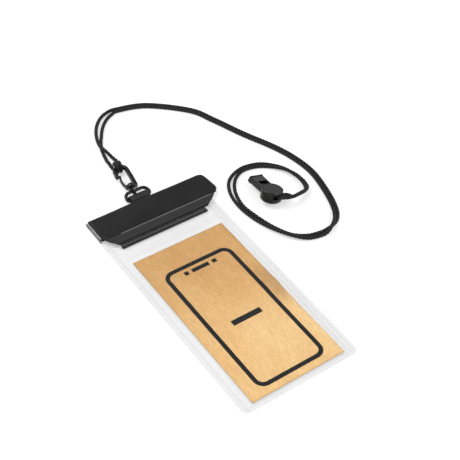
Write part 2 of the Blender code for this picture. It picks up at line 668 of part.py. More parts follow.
def make_whistle():
    frame = whistle_frame()
    chamfer = 0.0018
    edge = 0.0004
    profile = [(0, 0), (DRUM_RADIUS - chamfer, 0), (DRUM_RADIUS, chamfer),
               (DRUM_RADIUS, DRUM_HEIGHT - edge), (DRUM_RADIUS - edge, DRUM_HEIGHT),
               (0, DRUM_HEIGHT)]
    body = turned("whistle_body", profile, frame, 40)

    on_end = Matrix.Rotation(math.radians(90), 4, "X")
    section = [(-0.0062, 0.0036), (0.0046, 0.0036), (0.0070, 0.0066), (0.0057, 0.0105),
               (-0.0068, 0.0105), (-0.0087, 0.0066)]
    stem = plate("mouthpiece", [rounded(section, [0.0006] * 6, 2)], 0.0222,
                 0.0005, frame @ Matrix.Translation((0, 0.0155, 0)) @ on_end)
    boolean(body, stem, "UNION")
    lip = [(-0.0066, 0.0032), (0.0050, 0.0032), (0.0075, 0.0066), (0.0061, 0.0110),
           (-0.0072, 0.0110), (-0.0092, 0.0066)]
    rim = plate("mouth_lip", [rounded(lip, [0.0006] * 6, 2)], 0.0012,
                0.0003, frame @ Matrix.Translation((0, 0.0266, 0)) @ on_end)
    boolean(body, rim, "UNION")

    cap_floor = DRUM_HEIGHT - CAP_THICK - GAP
    place = frame @ Matrix.Translation((*CHAMBER_PLACE, 0))
    chamber = cylinder("chamber", CHAMBER_RADIUS, CHAMBER_FLOOR, cap_floor + 0.0005, place, 28)
    boolean(body, chamber)
    boolean(body, cylinder("cap_seat", CAP_RADIUS + GAP, cap_floor, 0.013, frame, 40))
    boolean(body, box("airway", (-0.0050, 0.0165, 0.0074), (0.0039, 0.0290, 0.0092), frame))
    # y and height of the window with its ramp, and of the passage to the chamber
    window = [(0.0172, 0.0120), (0.0172, 0.0073), (0.0140, 0.0052), (0.0050, 0.0052),
              (0.0050, 0.0083), (0.0118, 0.0091), (0.0118, 0.0093), (0.0090, 0.0120)]
    upright = Matrix.Rotation(math.radians(90), 4, "Z") @ Matrix.Rotation(math.radians(90), 4, "X")
    passage = plate("window", [window], 0.0088, 0.0,
                    frame @ Matrix.Translation((-0.0006, 0, 0)) @ upright)
    boolean(body, passage)

    tunnel = CORD_RADIUS + 0.00085
    reach = TURN_RADIUS + CORD_RADIUS + 0.0004
    ring = [(POST_RADIUS, TURN_LEVEL - tunnel), (reach, TURN_LEVEL - tunnel),
            (reach, TURN_LEVEL + tunnel), (POST_RADIUS, TURN_LEVEL + tunnel)]
    place = frame @ Matrix.Translation((*POST_PLACE, 0))
    boolean(body, turned("cord_tunnel", ring, place, 32))
    recess = rounded([(-0.0044, TURN_LEVEL - tunnel), (0.0016, TURN_LEVEL - tunnel),
                      (0.0016, TURN_LEVEL + tunnel), (-0.0044, TURN_LEVEL + tunnel)],
                     [0.0022, 0.0003, 0.0003, 0.0022])
    boolean(body, plate("cord_slot", [recess], 0.005, 0.0,
                        frame @ Matrix.Translation((0, -0.0095, 0)) @ on_end))
    way_out = Matrix.Translation((*POST_PLACE, TURN_LEVEL)) @ Matrix.Rotation(TURN_AZIMUTH, 4, "Z")
    exit_half = CORD_RADIUS + 0.0004
    boolean(body, box("cord_exit", (0, TURN_RADIUS - exit_half, -tunnel),
                      (0.009, TURN_RADIUS + exit_half, tunnel), frame @ way_out))
    finish(body, WHISTLE, 35)

    edge = 0.0002
    profile = [(0, cap_floor + GAP), (CAP_RADIUS, cap_floor + GAP), (CAP_RADIUS, DRUM_HEIGHT - edge),
               (CAP_RADIUS - edge, DRUM_HEIGHT), (0, DRUM_HEIGHT)]
    finish(turned("whistle_cap", profile, frame, 40), CAP, 35)

    bm = bmesh.new()
    bmesh.ops.create_uvsphere(bm, u_segments=16, v_segments=10, radius=PEA_RADIUS)
    rest = CHAMBER_FLOOR + PEA_RADIUS + GAP
    place = frame @ Matrix.Translation((CHAMBER_PLACE[0] + 0.0004, CHAMBER_PLACE[1] + 0.0006, rest))
    finish(mesh_object("whistle_pea", bm, place), PEA, 60)


clear_scene()
PARTS = collection("waterproof_neck_pouch")
CUTTERS = collection("cutters", True)
CLEAR_BACK = material("clear_back", (0.80, 0.79, 0.79), 0.12, alpha=0.35)
CLEAR_FRONT = material("clear_front", (0.82, 0.81, 0.81), 0.08, alpha=0.25)
KRAFT = material("kraft_card", (0.60, 0.40, 0.20), 0.65)
BLACK_SEAL_LOW = material("seal_groove_black", (0.02, 0.02, 0.02), 0.4)
BLACK_SEAL_HIGH = material("seal_rib_black", (0.022, 0.022, 0.022), 0.4)
LOOP = material("loop_fabric", (0.03, 0.03, 0.03), 0.9)
HOOKS = material("hook_fabric", (0.028, 0.028, 0.028), 0.85)
FLAP = material("flap_sheet", (0.024, 0.024, 0.025), 0.45)
TAB = material("tab_sheet", (0.03, 0.03, 0.031), 0.5)
RING = material("ring_plastic", (0.015, 0.015, 0.015), 0.3)
EYE = material("eye_plastic", (0.016, 0.016, 0.016), 0.3)
HOOK = material("hook_black", (0.014, 0.014, 0.014), 0.25)
GATE = material("gate_black", (0.017, 0.017, 0.017), 0.25)
PIN = material("pin_steel", (0.03, 0.03, 0.03), 0.3, 1.0)
CORD_ONE = material("cord_braid_1", (0.018, 0.018, 0.018), 0.8)
CORD_TWO = material("cord_braid_2", (0.019, 0.019, 0.019), 0.8)
HITCH = material("cord_braid_hitch", (0.02, 0.02, 0.02), 0.8)
CORD_TURN = material("cord_braid_turn", (0.021, 0.021, 0.021), 0.8)
WHISTLE = material("whistle_plastic", (0.025, 0.025, 0.025), 0.3)
CAP = material("cap_plastic", (0.027, 0.027, 0.027), 0.3)
PEA = material("pea_cork", (0.25, 0.16, 0.08), 0.8)

make_films()
make_card()
make_rails()
make_tapes()
make_flap()
make_tab()
make_ring()
make_eye()
make_hook()
make_gate()
make_hitch()
make_cords()
make_whistle()
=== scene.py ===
"""Looks of the waterproof neck pouch: films, card, closure, hook, cord and whistle.

Lengths are in metres, in the frame of the CAD model.
"""

import math

import bmesh
import bpy
from mathutils import Matrix, Vector, noise


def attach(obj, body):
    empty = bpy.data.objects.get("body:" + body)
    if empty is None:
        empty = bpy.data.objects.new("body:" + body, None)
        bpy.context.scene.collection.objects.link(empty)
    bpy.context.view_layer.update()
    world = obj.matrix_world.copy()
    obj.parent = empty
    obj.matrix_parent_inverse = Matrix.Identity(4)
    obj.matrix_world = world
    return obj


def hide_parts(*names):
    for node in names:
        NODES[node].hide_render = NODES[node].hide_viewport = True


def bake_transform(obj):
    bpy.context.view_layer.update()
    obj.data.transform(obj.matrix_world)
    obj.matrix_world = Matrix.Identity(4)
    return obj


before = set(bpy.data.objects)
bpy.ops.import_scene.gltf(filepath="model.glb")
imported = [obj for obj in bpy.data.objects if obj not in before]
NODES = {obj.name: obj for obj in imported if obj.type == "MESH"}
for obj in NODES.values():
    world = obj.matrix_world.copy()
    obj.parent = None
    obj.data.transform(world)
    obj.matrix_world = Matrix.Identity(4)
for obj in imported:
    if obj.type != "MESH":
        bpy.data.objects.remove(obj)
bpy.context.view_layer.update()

# The camera of the photograph
CAMERA_TARGET = Vector((0.04802, 0.07434, 0.0))
CAMERA_DISTANCE = 0.9577
CAMERA_HEADING = math.radians(40.51)
CAMERA_ELEVATION = math.radians(45.57)
CAMERA_ROLL = math.radians(6.39)
CAMERA_LENS = 85.23

# Floor, sky and lamps
FLOOR_LEVEL = -0.0002
FLOOR_HALF = 3
FLOOR_TONE = 0.56
FLOOR_GLOW = 0.53
SKY_LOW, SKY_HIGH = 1.0, 0.34
LAMP_AIM = (0.05, 0.08, 0.0)
LAMP_SIZE = 1.1
LAMPS = {"key": ((-0.55, 0.75, 1.35), 15.5), "fill": ((0.75, -0.65, 1.10), 9.0)}

# Sizes that the CAD model gives its films, flap, strap and card
CARD_HALF_WIDTH = 0.046
CARD_HALF_LENGTH = 0.08465
CARD_BOTTOM = 0.0007
CARD_THICK = 0.0005
FILM_THICK = 0.0004
FILM_HALF_WIDTH = 0.0571
FILM_CORNER = 0.0065
FILM_BOTTOM = -0.0905
FILM_MOUTH = 0.1205
WELD_HALF_WIDTH = 0.0518
WELD_RISE = 0.006
BACK_LEVEL = 0.0002
FRONT_LEVEL = 0.0009
FOLD_Y = 0.14205
FOLD_Z = 0.00255
FRONT_FOLD_RADIUS = 0.00045
BACK_FOLD_RADIUS = 0.00135
FLAP_FOLD_RADIUS = 0.0023
TAB_LIFT = 0.0016
FOLD_PULL = 0.7
FLAP_THICK = 0.0005
TAB_LEFT = -0.0085
TAB_RIGHT = 0.0109
TAB_TAIL_Y = 0.131
RING_WIRE = 0.0016
RING_BAR = (0.0012, 0.1485, 0.0024)

# Sizes of the hook, the cord and the whistle's place
HOOK_PLACE = (-0.0003, 0.1545, 0.0045)
HOOK_TURN = math.radians(-7.7)
HOOK_LIFT = math.radians(1.8)
GATE_PIVOT = (-0.0037, 0.0076)
CORD_RADIUS = 0.00155
CORD_PAIR = 0.0038
CORD_START = 0.0425
CORD_LEAD = 0.004
GAP = 0.0003
HITCH_X = -0.0005
HITCH_Z = -0.00395
WHISTLE_PLACE = (0.0999, 0.0839, 0.0029)
WHISTLE_UP = (0.2076, 0.1626, 0.9646)
WHISTLE_FORWARD = (0.106, 0.977, -0.187)
POST_PLACE = (0.0040, -0.0082)
TURN_RADIUS = 0.00285
TURN_LEVEL = 0.0073
TURN_AZIMUTH = math.radians(-8)

# Detail that only the looks have
WELD_LINE = 0.0534
WELD_LOW = -0.0872
WELD_TOP = 0.1190
FILM_ROW = 0.0015
FOLD_ROW = 0.0016
SHEET_EDGE = 0.00012
INK_THICK = 0.00006
INK_LIFT = 0.00004
PHONE_BOX = (-0.0339, -0.07805, 0.0345, 0.06015)
PHONE_STROKE = 0.0039
PHONE_CORNER = 0.0095
BUCKLE_Y = 0.004
BUCKLE_RISE = 0.0009
FLAP_CREASE = 0.1166
FLAP_LOWER = 0.00345
FLAP_WAVE = 0.00014
FLAP_GRAIN = 0.00006
RAIL_HALF = 0.0442
RAIL_MIDDLE = 0.00185
RAIL_CHAMFER = 0.0003
RAIL_END_SHARE = 0.75
FLANGE_HIGHLIGHT_LINE = 0.1058
HOOK_THICK = 0.0044
HOOK_EDGE = 0.0009
BARREL_SIDES = 40
GATE_HALF = 0.00085
GATE_HEIGHT = 0.0030
GATE_EDGE = 0.0003
KNUCKLE_RADIUS = 0.00155
STRAND_STEPS = 24
BRAID_STEP = 0.00042
BRAID_PITCH = 0.0034
BRAID_COUNT = 6
BRAID_SIDES = 28
BRAID_DEPTH = 0.00028
BRAID_SWELL = 0.00022
PATH_STEP = 0.004
HITCH_PATH_STEP = 0.0012

# x and y of the pair's middle, half the distance between strands, half turns
ROUTE = [
    (0.0050, 0.2046, 0.0033, 0.04), (0.0050, 0.2105, 0.0023, 0.16),
    (0.0051, 0.2165, 0.0018, 0.4), (0.0057, 0.2218, 0.0017, 0.6),
    (0.0076, 0.2272, 0.0017, 0.76), (0.0101, 0.2325, 0.0018, 0.9),
    (0.0128, 0.2373, 0.0023, 0.98), (0.0163, 0.2432, 0.0027, 1.0),
    (0.0218, 0.2504, 0.0030, 1.0), (0.0297, 0.2574, 0.0031, 1.0),
    (0.0385, 0.2616, 0.0027, 1.0), (0.0490, 0.2625, 0.0018, 1.0),
    (0.0771, 0.2535, 0.0017, 1.0), (0.1092, 0.2260, 0.0017, 1.0),
    (0.1207, 0.2028, 0.0017, 1.0), (0.1334, 0.1710, 0.0017, 1.0),
    (0.1473, 0.1412, 0.0017, 1.0), (0.1544, 0.1190, 0.0017, 1.0),
    (0.1571, 0.0955, 0.0017, 1.0), (0.1532, 0.0719, 0.0017, 1.0),
    (0.1458, 0.0485, 0.0017, 1.0), (0.1372, 0.0354, 0.0018, 1.2),
    (0.1265, 0.0288, 0.0018, 1.6), (0.1156, 0.0268, 0.0018, 2.0),
    (0.1016, 0.0300, 0.0017, 2.0), (0.0893, 0.0393, 0.0017, 1.8),
    (0.0805, 0.0557, 0.0017, 1.88), (0.0754, 0.0736, 0.0018, 2.0),
    (0.0731, 0.0914, 0.0017, 2.0), (0.0765, 0.1090, 0.0024, 2.0),
    (0.0845, 0.1220, 0.0026, 2.0), (0.0960, 0.1292, 0.0018, 2.0),
    (0.1084, 0.1306, 0.0017, 2.0), (0.1231, 0.1255, 0.0017, 2.0),
    (0.1354, 0.1127, 0.0017, 2.16), (0.1400, 0.1000, 0.0017, 2.31),
    (0.1408, 0.0905, 0.0017, 2.38), (0.1396, 0.0830, 0.0017, 2.5),
    (0.1353, 0.0765, 0.0017, 2.62), (0.1188, 0.0722, 0.0018, 2.69),
]
ROUTE_END_LIFTS = (0.0010, 0.0052)


# Camera, floor and light

def make_camera():
    """The view of the photograph, aimed at a point on the floor."""
    heading, elevation = CAMERA_HEADING, CAMERA_ELEVATION
    forward = Vector((math.sin(heading) * math.cos(elevation),
                      math.cos(heading) * math.cos(elevation), -math.sin(elevation)))
    right = Vector((math.cos(heading), -math.sin(heading), 0))
    up = right.cross(forward)
    side = right * math.cos(CAMERA_ROLL) + up * math.sin(CAMERA_ROLL)
    top = up * math.cos(CAMERA_ROLL) - right * math.sin(CAMERA_ROLL)
    data = bpy.data.cameras.new("photo_camera")
    data.lens = CAMERA_LENS
    data.sensor_width = 36.0
    data.sensor_fit = "HORIZONTAL"
    data.clip_start = 0.01
    camera = bpy.data.objects.new("photo_camera", data)
    turn = Matrix((side, top, -forward)).transposed().to_4x4()
    camera.matrix_world = Matrix.Translation(CAMERA_TARGET - forward * CAMERA_DISTANCE) @ turn
    bpy.context.scene.collection.objects.link(camera)
    bpy.context.scene.camera = camera


def make_light(name, place, power):
    data = bpy.data.lights.new(name, "AREA")
    data.shape = "DISK"
    data.size = LAMP_SIZE
    data.energy = power
    lamp = bpy.data.objects.new(name, data)
    lamp.location = place
    aim = Vector(LAMP_AIM) - Vector(place)
    lamp.rotation_euler = aim.to_track_quat("-Z", "Y").to_euler()
    bpy.context.scene.collection.objects.link(lamp)


def make_studio():
    """A pale floor that keeps the shadow, a white sky that fades upward, two lamps."""
    scene = bpy.context.scene
    scene.view_settings.view_transform = "Standard"
    world = bpy.data.worlds.new("studio")
    world.use_nodes = True
    background = world.node_tree.nodes["Background"]
    background.inputs["Color"].default_value = (1.0, 1.0, 1.0, 1.0)
    scene.world = world
    fade = eased(world, place_axes(world, "Generated")["Z"], 0.05, 0.70, SKY_LOW, SKY_HIGH)
    ray = add(world, "ShaderNodeLightPath")
    seen = math_node(world, "MAXIMUM", fade, ray.outputs["Is Camera Ray"])
    link(world, seen, background.inputs["Strength"])
    for name, (place, power) in LAMPS.items():
        make_light(name, place, power)

    mesh = bpy.data.meshes.new("floor")
    corners = [(x * FLOOR_HALF, y * FLOOR_HALF, FLOOR_LEVEL)
               for x, y in ((-1, -1), (1, -1), (1, 1), (-1, 1))]
    mesh.from_pydata(corners, [], [(0, 1, 2, 3)])
    floor = bpy.data.objects.new("floor", mesh)
    scene.collection.objects.link(floor)
    paper = new_material("floor_paper", (FLOOR_TONE,) * 3, 0.9, Specular_IOR_Level=0.0)
    shader_of(paper).inputs["Emission Color"].default_value = (1.0, 1.0, 1.0, 1.0)
    ray = add(paper, "ShaderNodeLightPath")
    seen = math_node(paper, "MAXIMUM", ray.outputs["Is Camera Ray"], ray.outputs["Is Glossy Ray"])
    seen = math_node(paper, "MAXIMUM", seen, ray.outputs["Is Transmission Ray"])
    feed(paper, "Emission Strength", math_node(paper, "MULTIPLY", seen, FLOOR_GLOW))
    mesh.materials.append(paper)


# Material helpers

def new_material(name, color, roughness, metallic=0.0, **sockets):
    made = bpy.data.materials.new(name)
    made.use_nodes = True
    made.diffuse_color = (*color, 1.0)
    inputs = shader_of(made).inputs
    inputs["Base Color"].default_value = (*color, 1.0)
    inputs["Roughness"].default_value = roughness
    inputs["Metallic"].default_value = metallic
    for key, value in sockets.items():
        inputs[key.replace("_", " ")].default_value = value
    return made


def add(mat, kind, **settings):
    """A new node, with its settings and the values of its inputs."""
    made = mat.node_tree.nodes.new(kind)
    for key, value in settings.items():
        if hasattr(made, key):
            setattr(made, key, value)
        else:
            made.inputs[key.replace("_", " ")].default_value = value
    return made


def link(mat, source, target):
    mat.node_tree.links.new(source, target)


def shader_of(mat):
    return mat.node_tree.nodes["Principled BSDF"]


def feed(mat, key, value):
    """Let a value drive one input of the shader."""
    link(mat, value, shader_of(mat).inputs[key])


def math_node(mat, operation, first, second=None):
    """The result of one operation on sockets or numbers."""
    made = add(mat, "ShaderNodeMath", operation=operation)
    for socket, value in zip(made.inputs, (first, second)):
        if value is None:
            continue
        if isinstance(value, (int, float)):
            socket.default_value = value
        else:
            link(mat, value, socket)
    return made.outputs[0]


def stretched(mat, scale):
    """Object coordinates in metres, scaled on each axis."""
    place = add(mat, "ShaderNodeTexCoord")
    turn = add(mat, "ShaderNodeMapping")
    turn.inputs["Scale"].default_value = scale
    link(mat, place.outputs["Object"], turn.inputs["Vector"])
    return turn.outputs["Vector"]


def noise_value(mat, scale, detail=3.0, rough=0.55):
    """Noise from 0 to 1, with its scale on each axis in 1/m."""
    made = add(mat, "ShaderNodeTexNoise", Detail=detail, Roughness=rough)
    made.inputs["Scale"].default_value = 1.0
    link(mat, stretched(mat, scale), made.inputs["Vector"])
    return made.outputs["Fac"]


def ramp(mat, value, stops):
    """Colours along a value, from (place, colour) stops."""
    made = add(mat, "ShaderNodeValToRGB")
    steps = made.color_ramp.elements
    while len(steps) < len(stops):
        steps.new(0.5)
    for step, (place, color) in zip(steps, stops):
        step.position = place
        step.color = (*color, 1.0)
    link(mat, value, made.inputs["Fac"])
    return made.outputs["Color"]


def set_bump(mat, height, strength, distance):
    made = add(mat, "ShaderNodeBump", Strength=strength, Distance=distance)
    link(mat, height, made.inputs["Height"])
    feed(mat, "Normal", made.outputs["Normal"])


def spread_of(mat, value, low, high):
    """A value from 0 to 1 spread from low to high."""
    made = add(mat, "ShaderNodeMapRange")
    made.inputs["To Min"].default_value = low
    made.inputs["To Max"].default_value = high
    link(mat, value, made.inputs["Value"])
    return made.outputs["Result"]


def eased(mat, value, low, high, start, end):
    """A smooth step from start, where value is low, to end, where it is high."""
    made = add(mat, "ShaderNodeMapRange", interpolation_type="SMOOTHSTEP")
    limits = {"From Min": low, "From Max": high, "To Min": start, "To Max": end}
    for key, number in limits.items():
        made.inputs[key].default_value = number
    link(mat, value, made.inputs["Value"])
    return made.outputs["Result"]


def band_mask(mat, value, middle, half, soft):
    """1 where value lies within half of middle, fading over soft."""
    gap = math_node(mat, "ABSOLUTE", math_node(mat, "SUBTRACT", value, middle))
    return eased(mat, gap, half, half + soft, 1.0, 0.0)


def layered(mat, under, over, factor=1.0, blend="MIX"):
    """One colour over another; each input is a socket or a constant."""
    made = add(mat, "ShaderNodeMix", data_type="RGBA", blend_type=blend)
    for key, value in (("Factor", factor), ("A", under), ("B", over)):
        if isinstance(value, bpy.types.NodeSocket):
            link(mat, value, made.inputs[key])
        else:
            made.inputs[key].default_value = value
    return made.outputs["Result"]


def place_axes(mat, source="Object"):
    place = add(mat, "ShaderNodeTexCoord")
    parts = add(mat, "ShaderNodeSeparateXYZ")
    link(mat, place.outputs[source], parts.inputs["Vector"])
    return parts.outputs


def scaled(color, share):
    return tuple(share * c for c in color)


# Materials

def clear_film(name, alpha, tone, weld):
    """Clear soft plastic: a faint grey veil, denser at a glancing view and in the weld."""
    mat = new_material(name, (tone, tone, tone), 0.12)
    facing = add(mat, "ShaderNodeLayerWeight", Blend=0.12)
    haze = spread_of(mat, noise_value(mat, (28, 14, 28), 2.0), -0.5 * alpha, 0.5 * alpha)
    glance = spread_of(mat, facing.outputs["Facing"], alpha, alpha + 0.30)
    axes = place_axes(mat)
    across = math_node(mat, "ABSOLUTE", axes["X"])
    side = band_mask(mat, across, WELD_LINE, 0.0001, 0.00035)
    low = band_mask(mat, axes["Y"], WELD_LOW, 0.0001, 0.00035)
    inside = math_node(mat, "LESS_THAN", across, WELD_LINE)
    line = math_node(mat, "MAXIMUM", side, math_node(mat, "MULTIPLY", low, inside))
    total = math_node(mat, "ADD", glance, haze)
    total = math_node(mat, "ADD", total, math_node(mat, "MULTIPLY", line, weld))
    fold = math_node(mat, "GREATER_THAN", axes["Y"], WELD_TOP)
    rim = band_mask(mat, axes["X"], -FILM_HALF_WIDTH, 0.0014, 0.0006)
    stacked = math_node(mat, "MULTIPLY", math_node(mat, "MULTIPLY", rim, fold), 0.62)
    feed(mat, "Alpha", math_node(mat, "ADD", total, stacked))
    set_bump(mat, noise_value(mat, (70, 30, 70), 1.0), 0.25, 0.0005)
    return mat


def kraft():
    """Brown card: long fibres, dark and light flecks, bands, painted light that is paler toward its
    lower end and darker toward its upper end, and painted shade at its buckle.
    """
    mat = new_material("kraft_card", (0.80, 0.48, 0.19), 0.62, Specular_IOR_Level=0.3)
    cloud = noise_value(mat, (30, 12, 30), 4.0)
    axes = place_axes(mat)
    # Painted light: the card is painted paler toward its lower end and darker toward its upper end.
    painted_light_gradient = eased(mat, axes["Y"], -0.05, 0.075, 0.0, 1.0)
    fibre = noise_value(mat, (2600, 260, 2600), 3.0)
    fleck = noise_value(mat, (1500, 1200, 1500), 1.0)
    lines = noise_value(mat, (900, 120, 900), 2.0)
    # Painted shade: the card is painted darker where it buckles at its right edge.
    buckle = math_node(mat, "MULTIPLY", band_mask(mat, axes["X"], 0.0470, 0.0040, 0.0180),
                       band_mask(mat, axes["Y"], 0.0050, 0.0060, 0.0300))
    plain = (1, 1, 1)
    color = ramp(mat, cloud, [(0.3, (0.73, 0.41, 0.15)), (0.5, (0.80, 0.48, 0.19)),
                              (0.72, (0.86, 0.55, 0.24))])
    layers = (
        (painted_light_gradient, [(0.0, (1.18, 1.27, 1.42)), (0.5, (1.03, 1.03, 1.03)), (1.0, (0.86, 0.80, 0.73))]),
        (fibre, [(0.32, (0.86, 0.85, 0.83)), (0.5, plain), (0.7, (1.07, 1.07, 1.05))]),
        (fleck, [(0.28, (0.62, 0.58, 0.52)), (0.36, plain), (0.74, plain),
                 (0.80, (1.16, 1.15, 1.12))]),
        (lines, [(0.35, (0.94, 0.93, 0.92)), (0.6, (1.04, 1.04, 1.04))]),
        (buckle, [(0.0, plain), (1.0, (0.72, 0.68, 0.66))]),
    )
    for value, stops in layers:
        color = layered(mat, color, ramp(mat, value, stops), blend="MULTIPLY")
    feed(mat, "Base Color", color)
    set_bump(mat, fibre, 0.35, 0.00006)
    return mat


def ink():
    """Printed ink, worn in fine flecks."""
    mat = new_material("print_ink", (0.008, 0.008, 0.008), 0.55, Specular_IOR_Level=0.12)
    wear = noise_value(mat, (1400, 500, 1400), 3.0)
    feed(mat, "Base Color", ramp(mat, wear, [(0.30, (0.024, 0.019, 0.015)),
                                             (0.42, (0.008, 0.008, 0.008)),
                                             (1.0, (0.006, 0.006, 0.007))]))
    set_bump(mat, wear, 0.2, 0.00004)
    return mat


def coated_sheet(name, color, roughness, crease=None):
    """Black coated fabric: a fine plain weave under a satin skin.

    Past a crease, the lower panel is painted paler as painted light, its rim is painted dark as
    painted shade, a line of painted shade runs above the crease, and a painted highlight lies along
    the crease.
    """
    mat = new_material(name, color, roughness, Specular_IOR_Level=0.22)
    threads = []
    for direction in ("X", "Y"):
        wave = add(mat, "ShaderNodeTexWave", bands_direction=direction, Detail=0.0)
        wave.inputs["Scale"].default_value = 1.0
        link(mat, stretched(mat, (480, 480, 480)), wave.inputs["Vector"])
        threads.append(wave.outputs["Fac"])
    weave = math_node(mat, "MULTIPLY", *threads)
    grain = noise_value(mat, (1800, 1800, 1800), 3.0)
    cloud = noise_value(mat, (45, 45, 45), 3.0)
    height = math_node(mat, "ADD", weave, math_node(mat, "MULTIPLY", grain, 0.5))
    set_bump(mat, height, 0.35, 0.00005)
    tone = ramp(mat, cloud, [(0.3, scaled(color, 0.8)), (0.7, scaled(color, 1.35))])
    if crease:
        axes = place_axes(mat)
        inner = band_mask(mat, axes["X"], 0.0095, 0.045, 0.004)
        # Painted light: the lower panel is painted paler, as if it faced the light.
        panel = band_mask(mat, axes["Y"], crease - 0.0040, 0.0036, 0.0006)
        # Painted shade: the panel's lower rim is painted nearly black.
        rim = band_mask(mat, axes["Y"], crease - 0.0092, 0.0008, 0.0005)
        shade = band_mask(mat, axes["Y"], crease + 0.0011, 0.0003, 0.0005)
        # Painted highlight: a light line painted along the crease.
        painted_crease_highlight = band_mask(mat, axes["Y"], crease, 0.0001, 0.00032)
        layers = ((panel, (0.027, 0.027, 0.0275, 1.0)), (rim, (0.003, 0.003, 0.003, 1.0)),
                  (math_node(mat, "MULTIPLY", shade, inner), (0.004, 0.004, 0.004, 1.0)),
                  (math_node(mat, "MULTIPLY", painted_crease_highlight, inner), (0.17, 0.17, 0.175, 1.0)))
        for mask, paint in layers:
            tone = layered(mat, tone, paint, mask)
    feed(mat, "Base Color", tone)
    feed(mat, "Roughness", spread_of(mat, cloud, roughness - 0.06, roughness + 0.10))
    return mat


def moulded(name, tone, roughness, level=0.8):
    """Moulded plastic or lacquered metal: faint flow marks, specks and worn gloss."""
    color = (tone, tone, tone)
    mat = new_material(name, color, roughness, Specular_IOR_Level=level)
    cloud = noise_value(mat, (160, 160, 160), 4.0)
    grain = noise_value(mat, (4200, 4200, 4200), 2.0)
    feed(mat, "Base Color", ramp(mat, cloud, [(0.35, scaled(color, 0.85)),
                                              (0.65, scaled(color, 1.25))]))
    feed(mat, "Roughness", spread_of(mat, cloud, roughness - 0.06, roughness + 0.10))
    height = math_node(mat, "ADD", math_node(mat, "MULTIPLY", cloud, 1.5), grain)
    set_bump(mat, height, 0.16, 0.00004)
    return mat


def hairy(name, tone, loops):
    """One half of a hook-and-loop strip: a field of loops or stubby hooks."""
    color = (tone, tone, tone)
    mat = new_material(name, color, 0.85, Sheen_Weight=0.25, Sheen_Roughness=0.5)
    cells = add(mat, "ShaderNodeTexVoronoi")
    cells.inputs["Scale"].default_value = 1.0
    link(mat, stretched(mat, loops), cells.inputs["Vector"])
    fuzz = noise_value(mat, (2600, 1900, 2600), 4.0)
    far = cells.outputs["Distance"]
    set_bump(mat, math_node(mat, "ADD", far, fuzz), 0.8, 0.00025)
    feed(mat, "Base Color", ramp(mat, far, [(0.0, scaled(color, 1.7)), (0.7, scaled(color, 0.5))]))
    return mat


def braid(name, tone):
    """Plaited polyester: painted highlights on the crowns, painted shade in the hollows, and fine
    yarns along each strand.
    """
    color = (tone, tone, tone)
    mat = new_material(name, color, 0.62, Specular_IOR_Level=0.25)
    axes = place_axes(mat, "UV")
    crowns = []
    for axis in ("X", "Y"):
        angle = math_node(mat, "MULTIPLY", axes[axis], math.pi)
        crowns.append(math_node(mat, "ABSOLUTE", math_node(mat, "COSINE", angle)))
    crown = math_node(mat, "MULTIPLY", *crowns)
    yarn = math_node(mat, "SINE", math_node(mat, "MULTIPLY", axes["X"], math.pi * 12))
    cloud = noise_value(mat, (500, 500, 500), 3.0)
    height = math_node(mat, "ADD", crown, math_node(mat, "MULTIPLY", yarn, 0.05))
    height = math_node(mat, "ADD", height, spread_of(mat, cloud, -0.12, 0.12))
    # Painted light: crowns painted up to six times lighter, hollows painted up to ten times darker.
    painted_light_shares = ((0.0, 0.1), (0.35, 0.4), (0.65, 1.8), (1.0, 6.0))
    feed(mat, "Base Color", ramp(mat, height, [(at, scaled(color, share)) for at, share in painted_light_shares]))
    set_bump(mat, height, 0.5, 0.00012)
    return mat


def seal_rail():
    """Glossy profile: a painted highlight along its flange, its lip stays dark."""
    mat = moulded("seal_rib", 0.003, 0.34, 0.2)
    # Painted highlight: a light band painted along the flange.
    flange_highlight = band_mask(mat, place_axes(mat)["Y"], FLANGE_HIGHLIGHT_LINE, 0.0007, 0.0004)
    plain = shader_of(mat).inputs["Base Color"].links[0].from_socket
    feed(mat, "Base Color", layered(mat, plain, (0.080, 0.080, 0.082, 1.0), flange_highlight))
    return mat


def cork():
    """The whistle's ball."""
    mat = new_material("pea_cork", (0.30, 0.18, 0.09), 0.85)
    grain = noise_value(mat, (1500, 1500, 1500), 5.0)
    feed(mat, "Base Color", ramp(mat, grain, [(0.35, (0.12, 0.06, 0.03)), (0.5, (0.30, 0.18, 0.09)),
                                              (0.7, (0.42, 0.28, 0.15))]))
    set_bump(mat, grain, 0.7, 0.0002)
    return mat


def steel():
    mat = new_material("pin_steel", (0.10, 0.10, 0.105), 0.35, 1.0)
    scratch = noise_value(mat, (600, 600, 9000), 2.0)
    feed(mat, "Roughness", spread_of(mat, scratch, 0.25, 0.5))
    set_bump(mat, scratch, 0.1, 0.00002)
    return mat


# Shape helpers

def smooth(value):
    """A smooth step from 0 to 1."""
    value = min(1.0, max(0.0, value))
    return value * value * (3.0 - 2.0 * value)


def along_table(table, place):
    """Read a table of (place, value) rows with smooth steps between rows."""
    if place <= table[0][0]:
        return table[0][1]
    for (a, low), (b, high) in zip(table, table[1:]):
        if place <= b:
            return low + (high - low) * smooth((place - a) / (b - a))
    return table[-1][1]


def ripple(x, y, scale_x, scale_y, seed):
    return noise.noise(Vector((x * scale_x, y * scale_y, seed)))


def spaced(low, high, step):
    """Even places from low to high, no more than a step apart."""
    count = max(1, math.ceil((high - low) / step))
    return [low + (high - low) * k / count for k in range(count + 1)]


def ellipse_arc(centre, half_wide, half_high, start, end, steps):
    points = []
    for k in range(steps + 1):
        angle = math.radians(start + (end - start) * k / steps)
        points.append((centre[0] + half_wide * math.cos(angle),
                       centre[1] + half_high * math.sin(angle)))
    return points


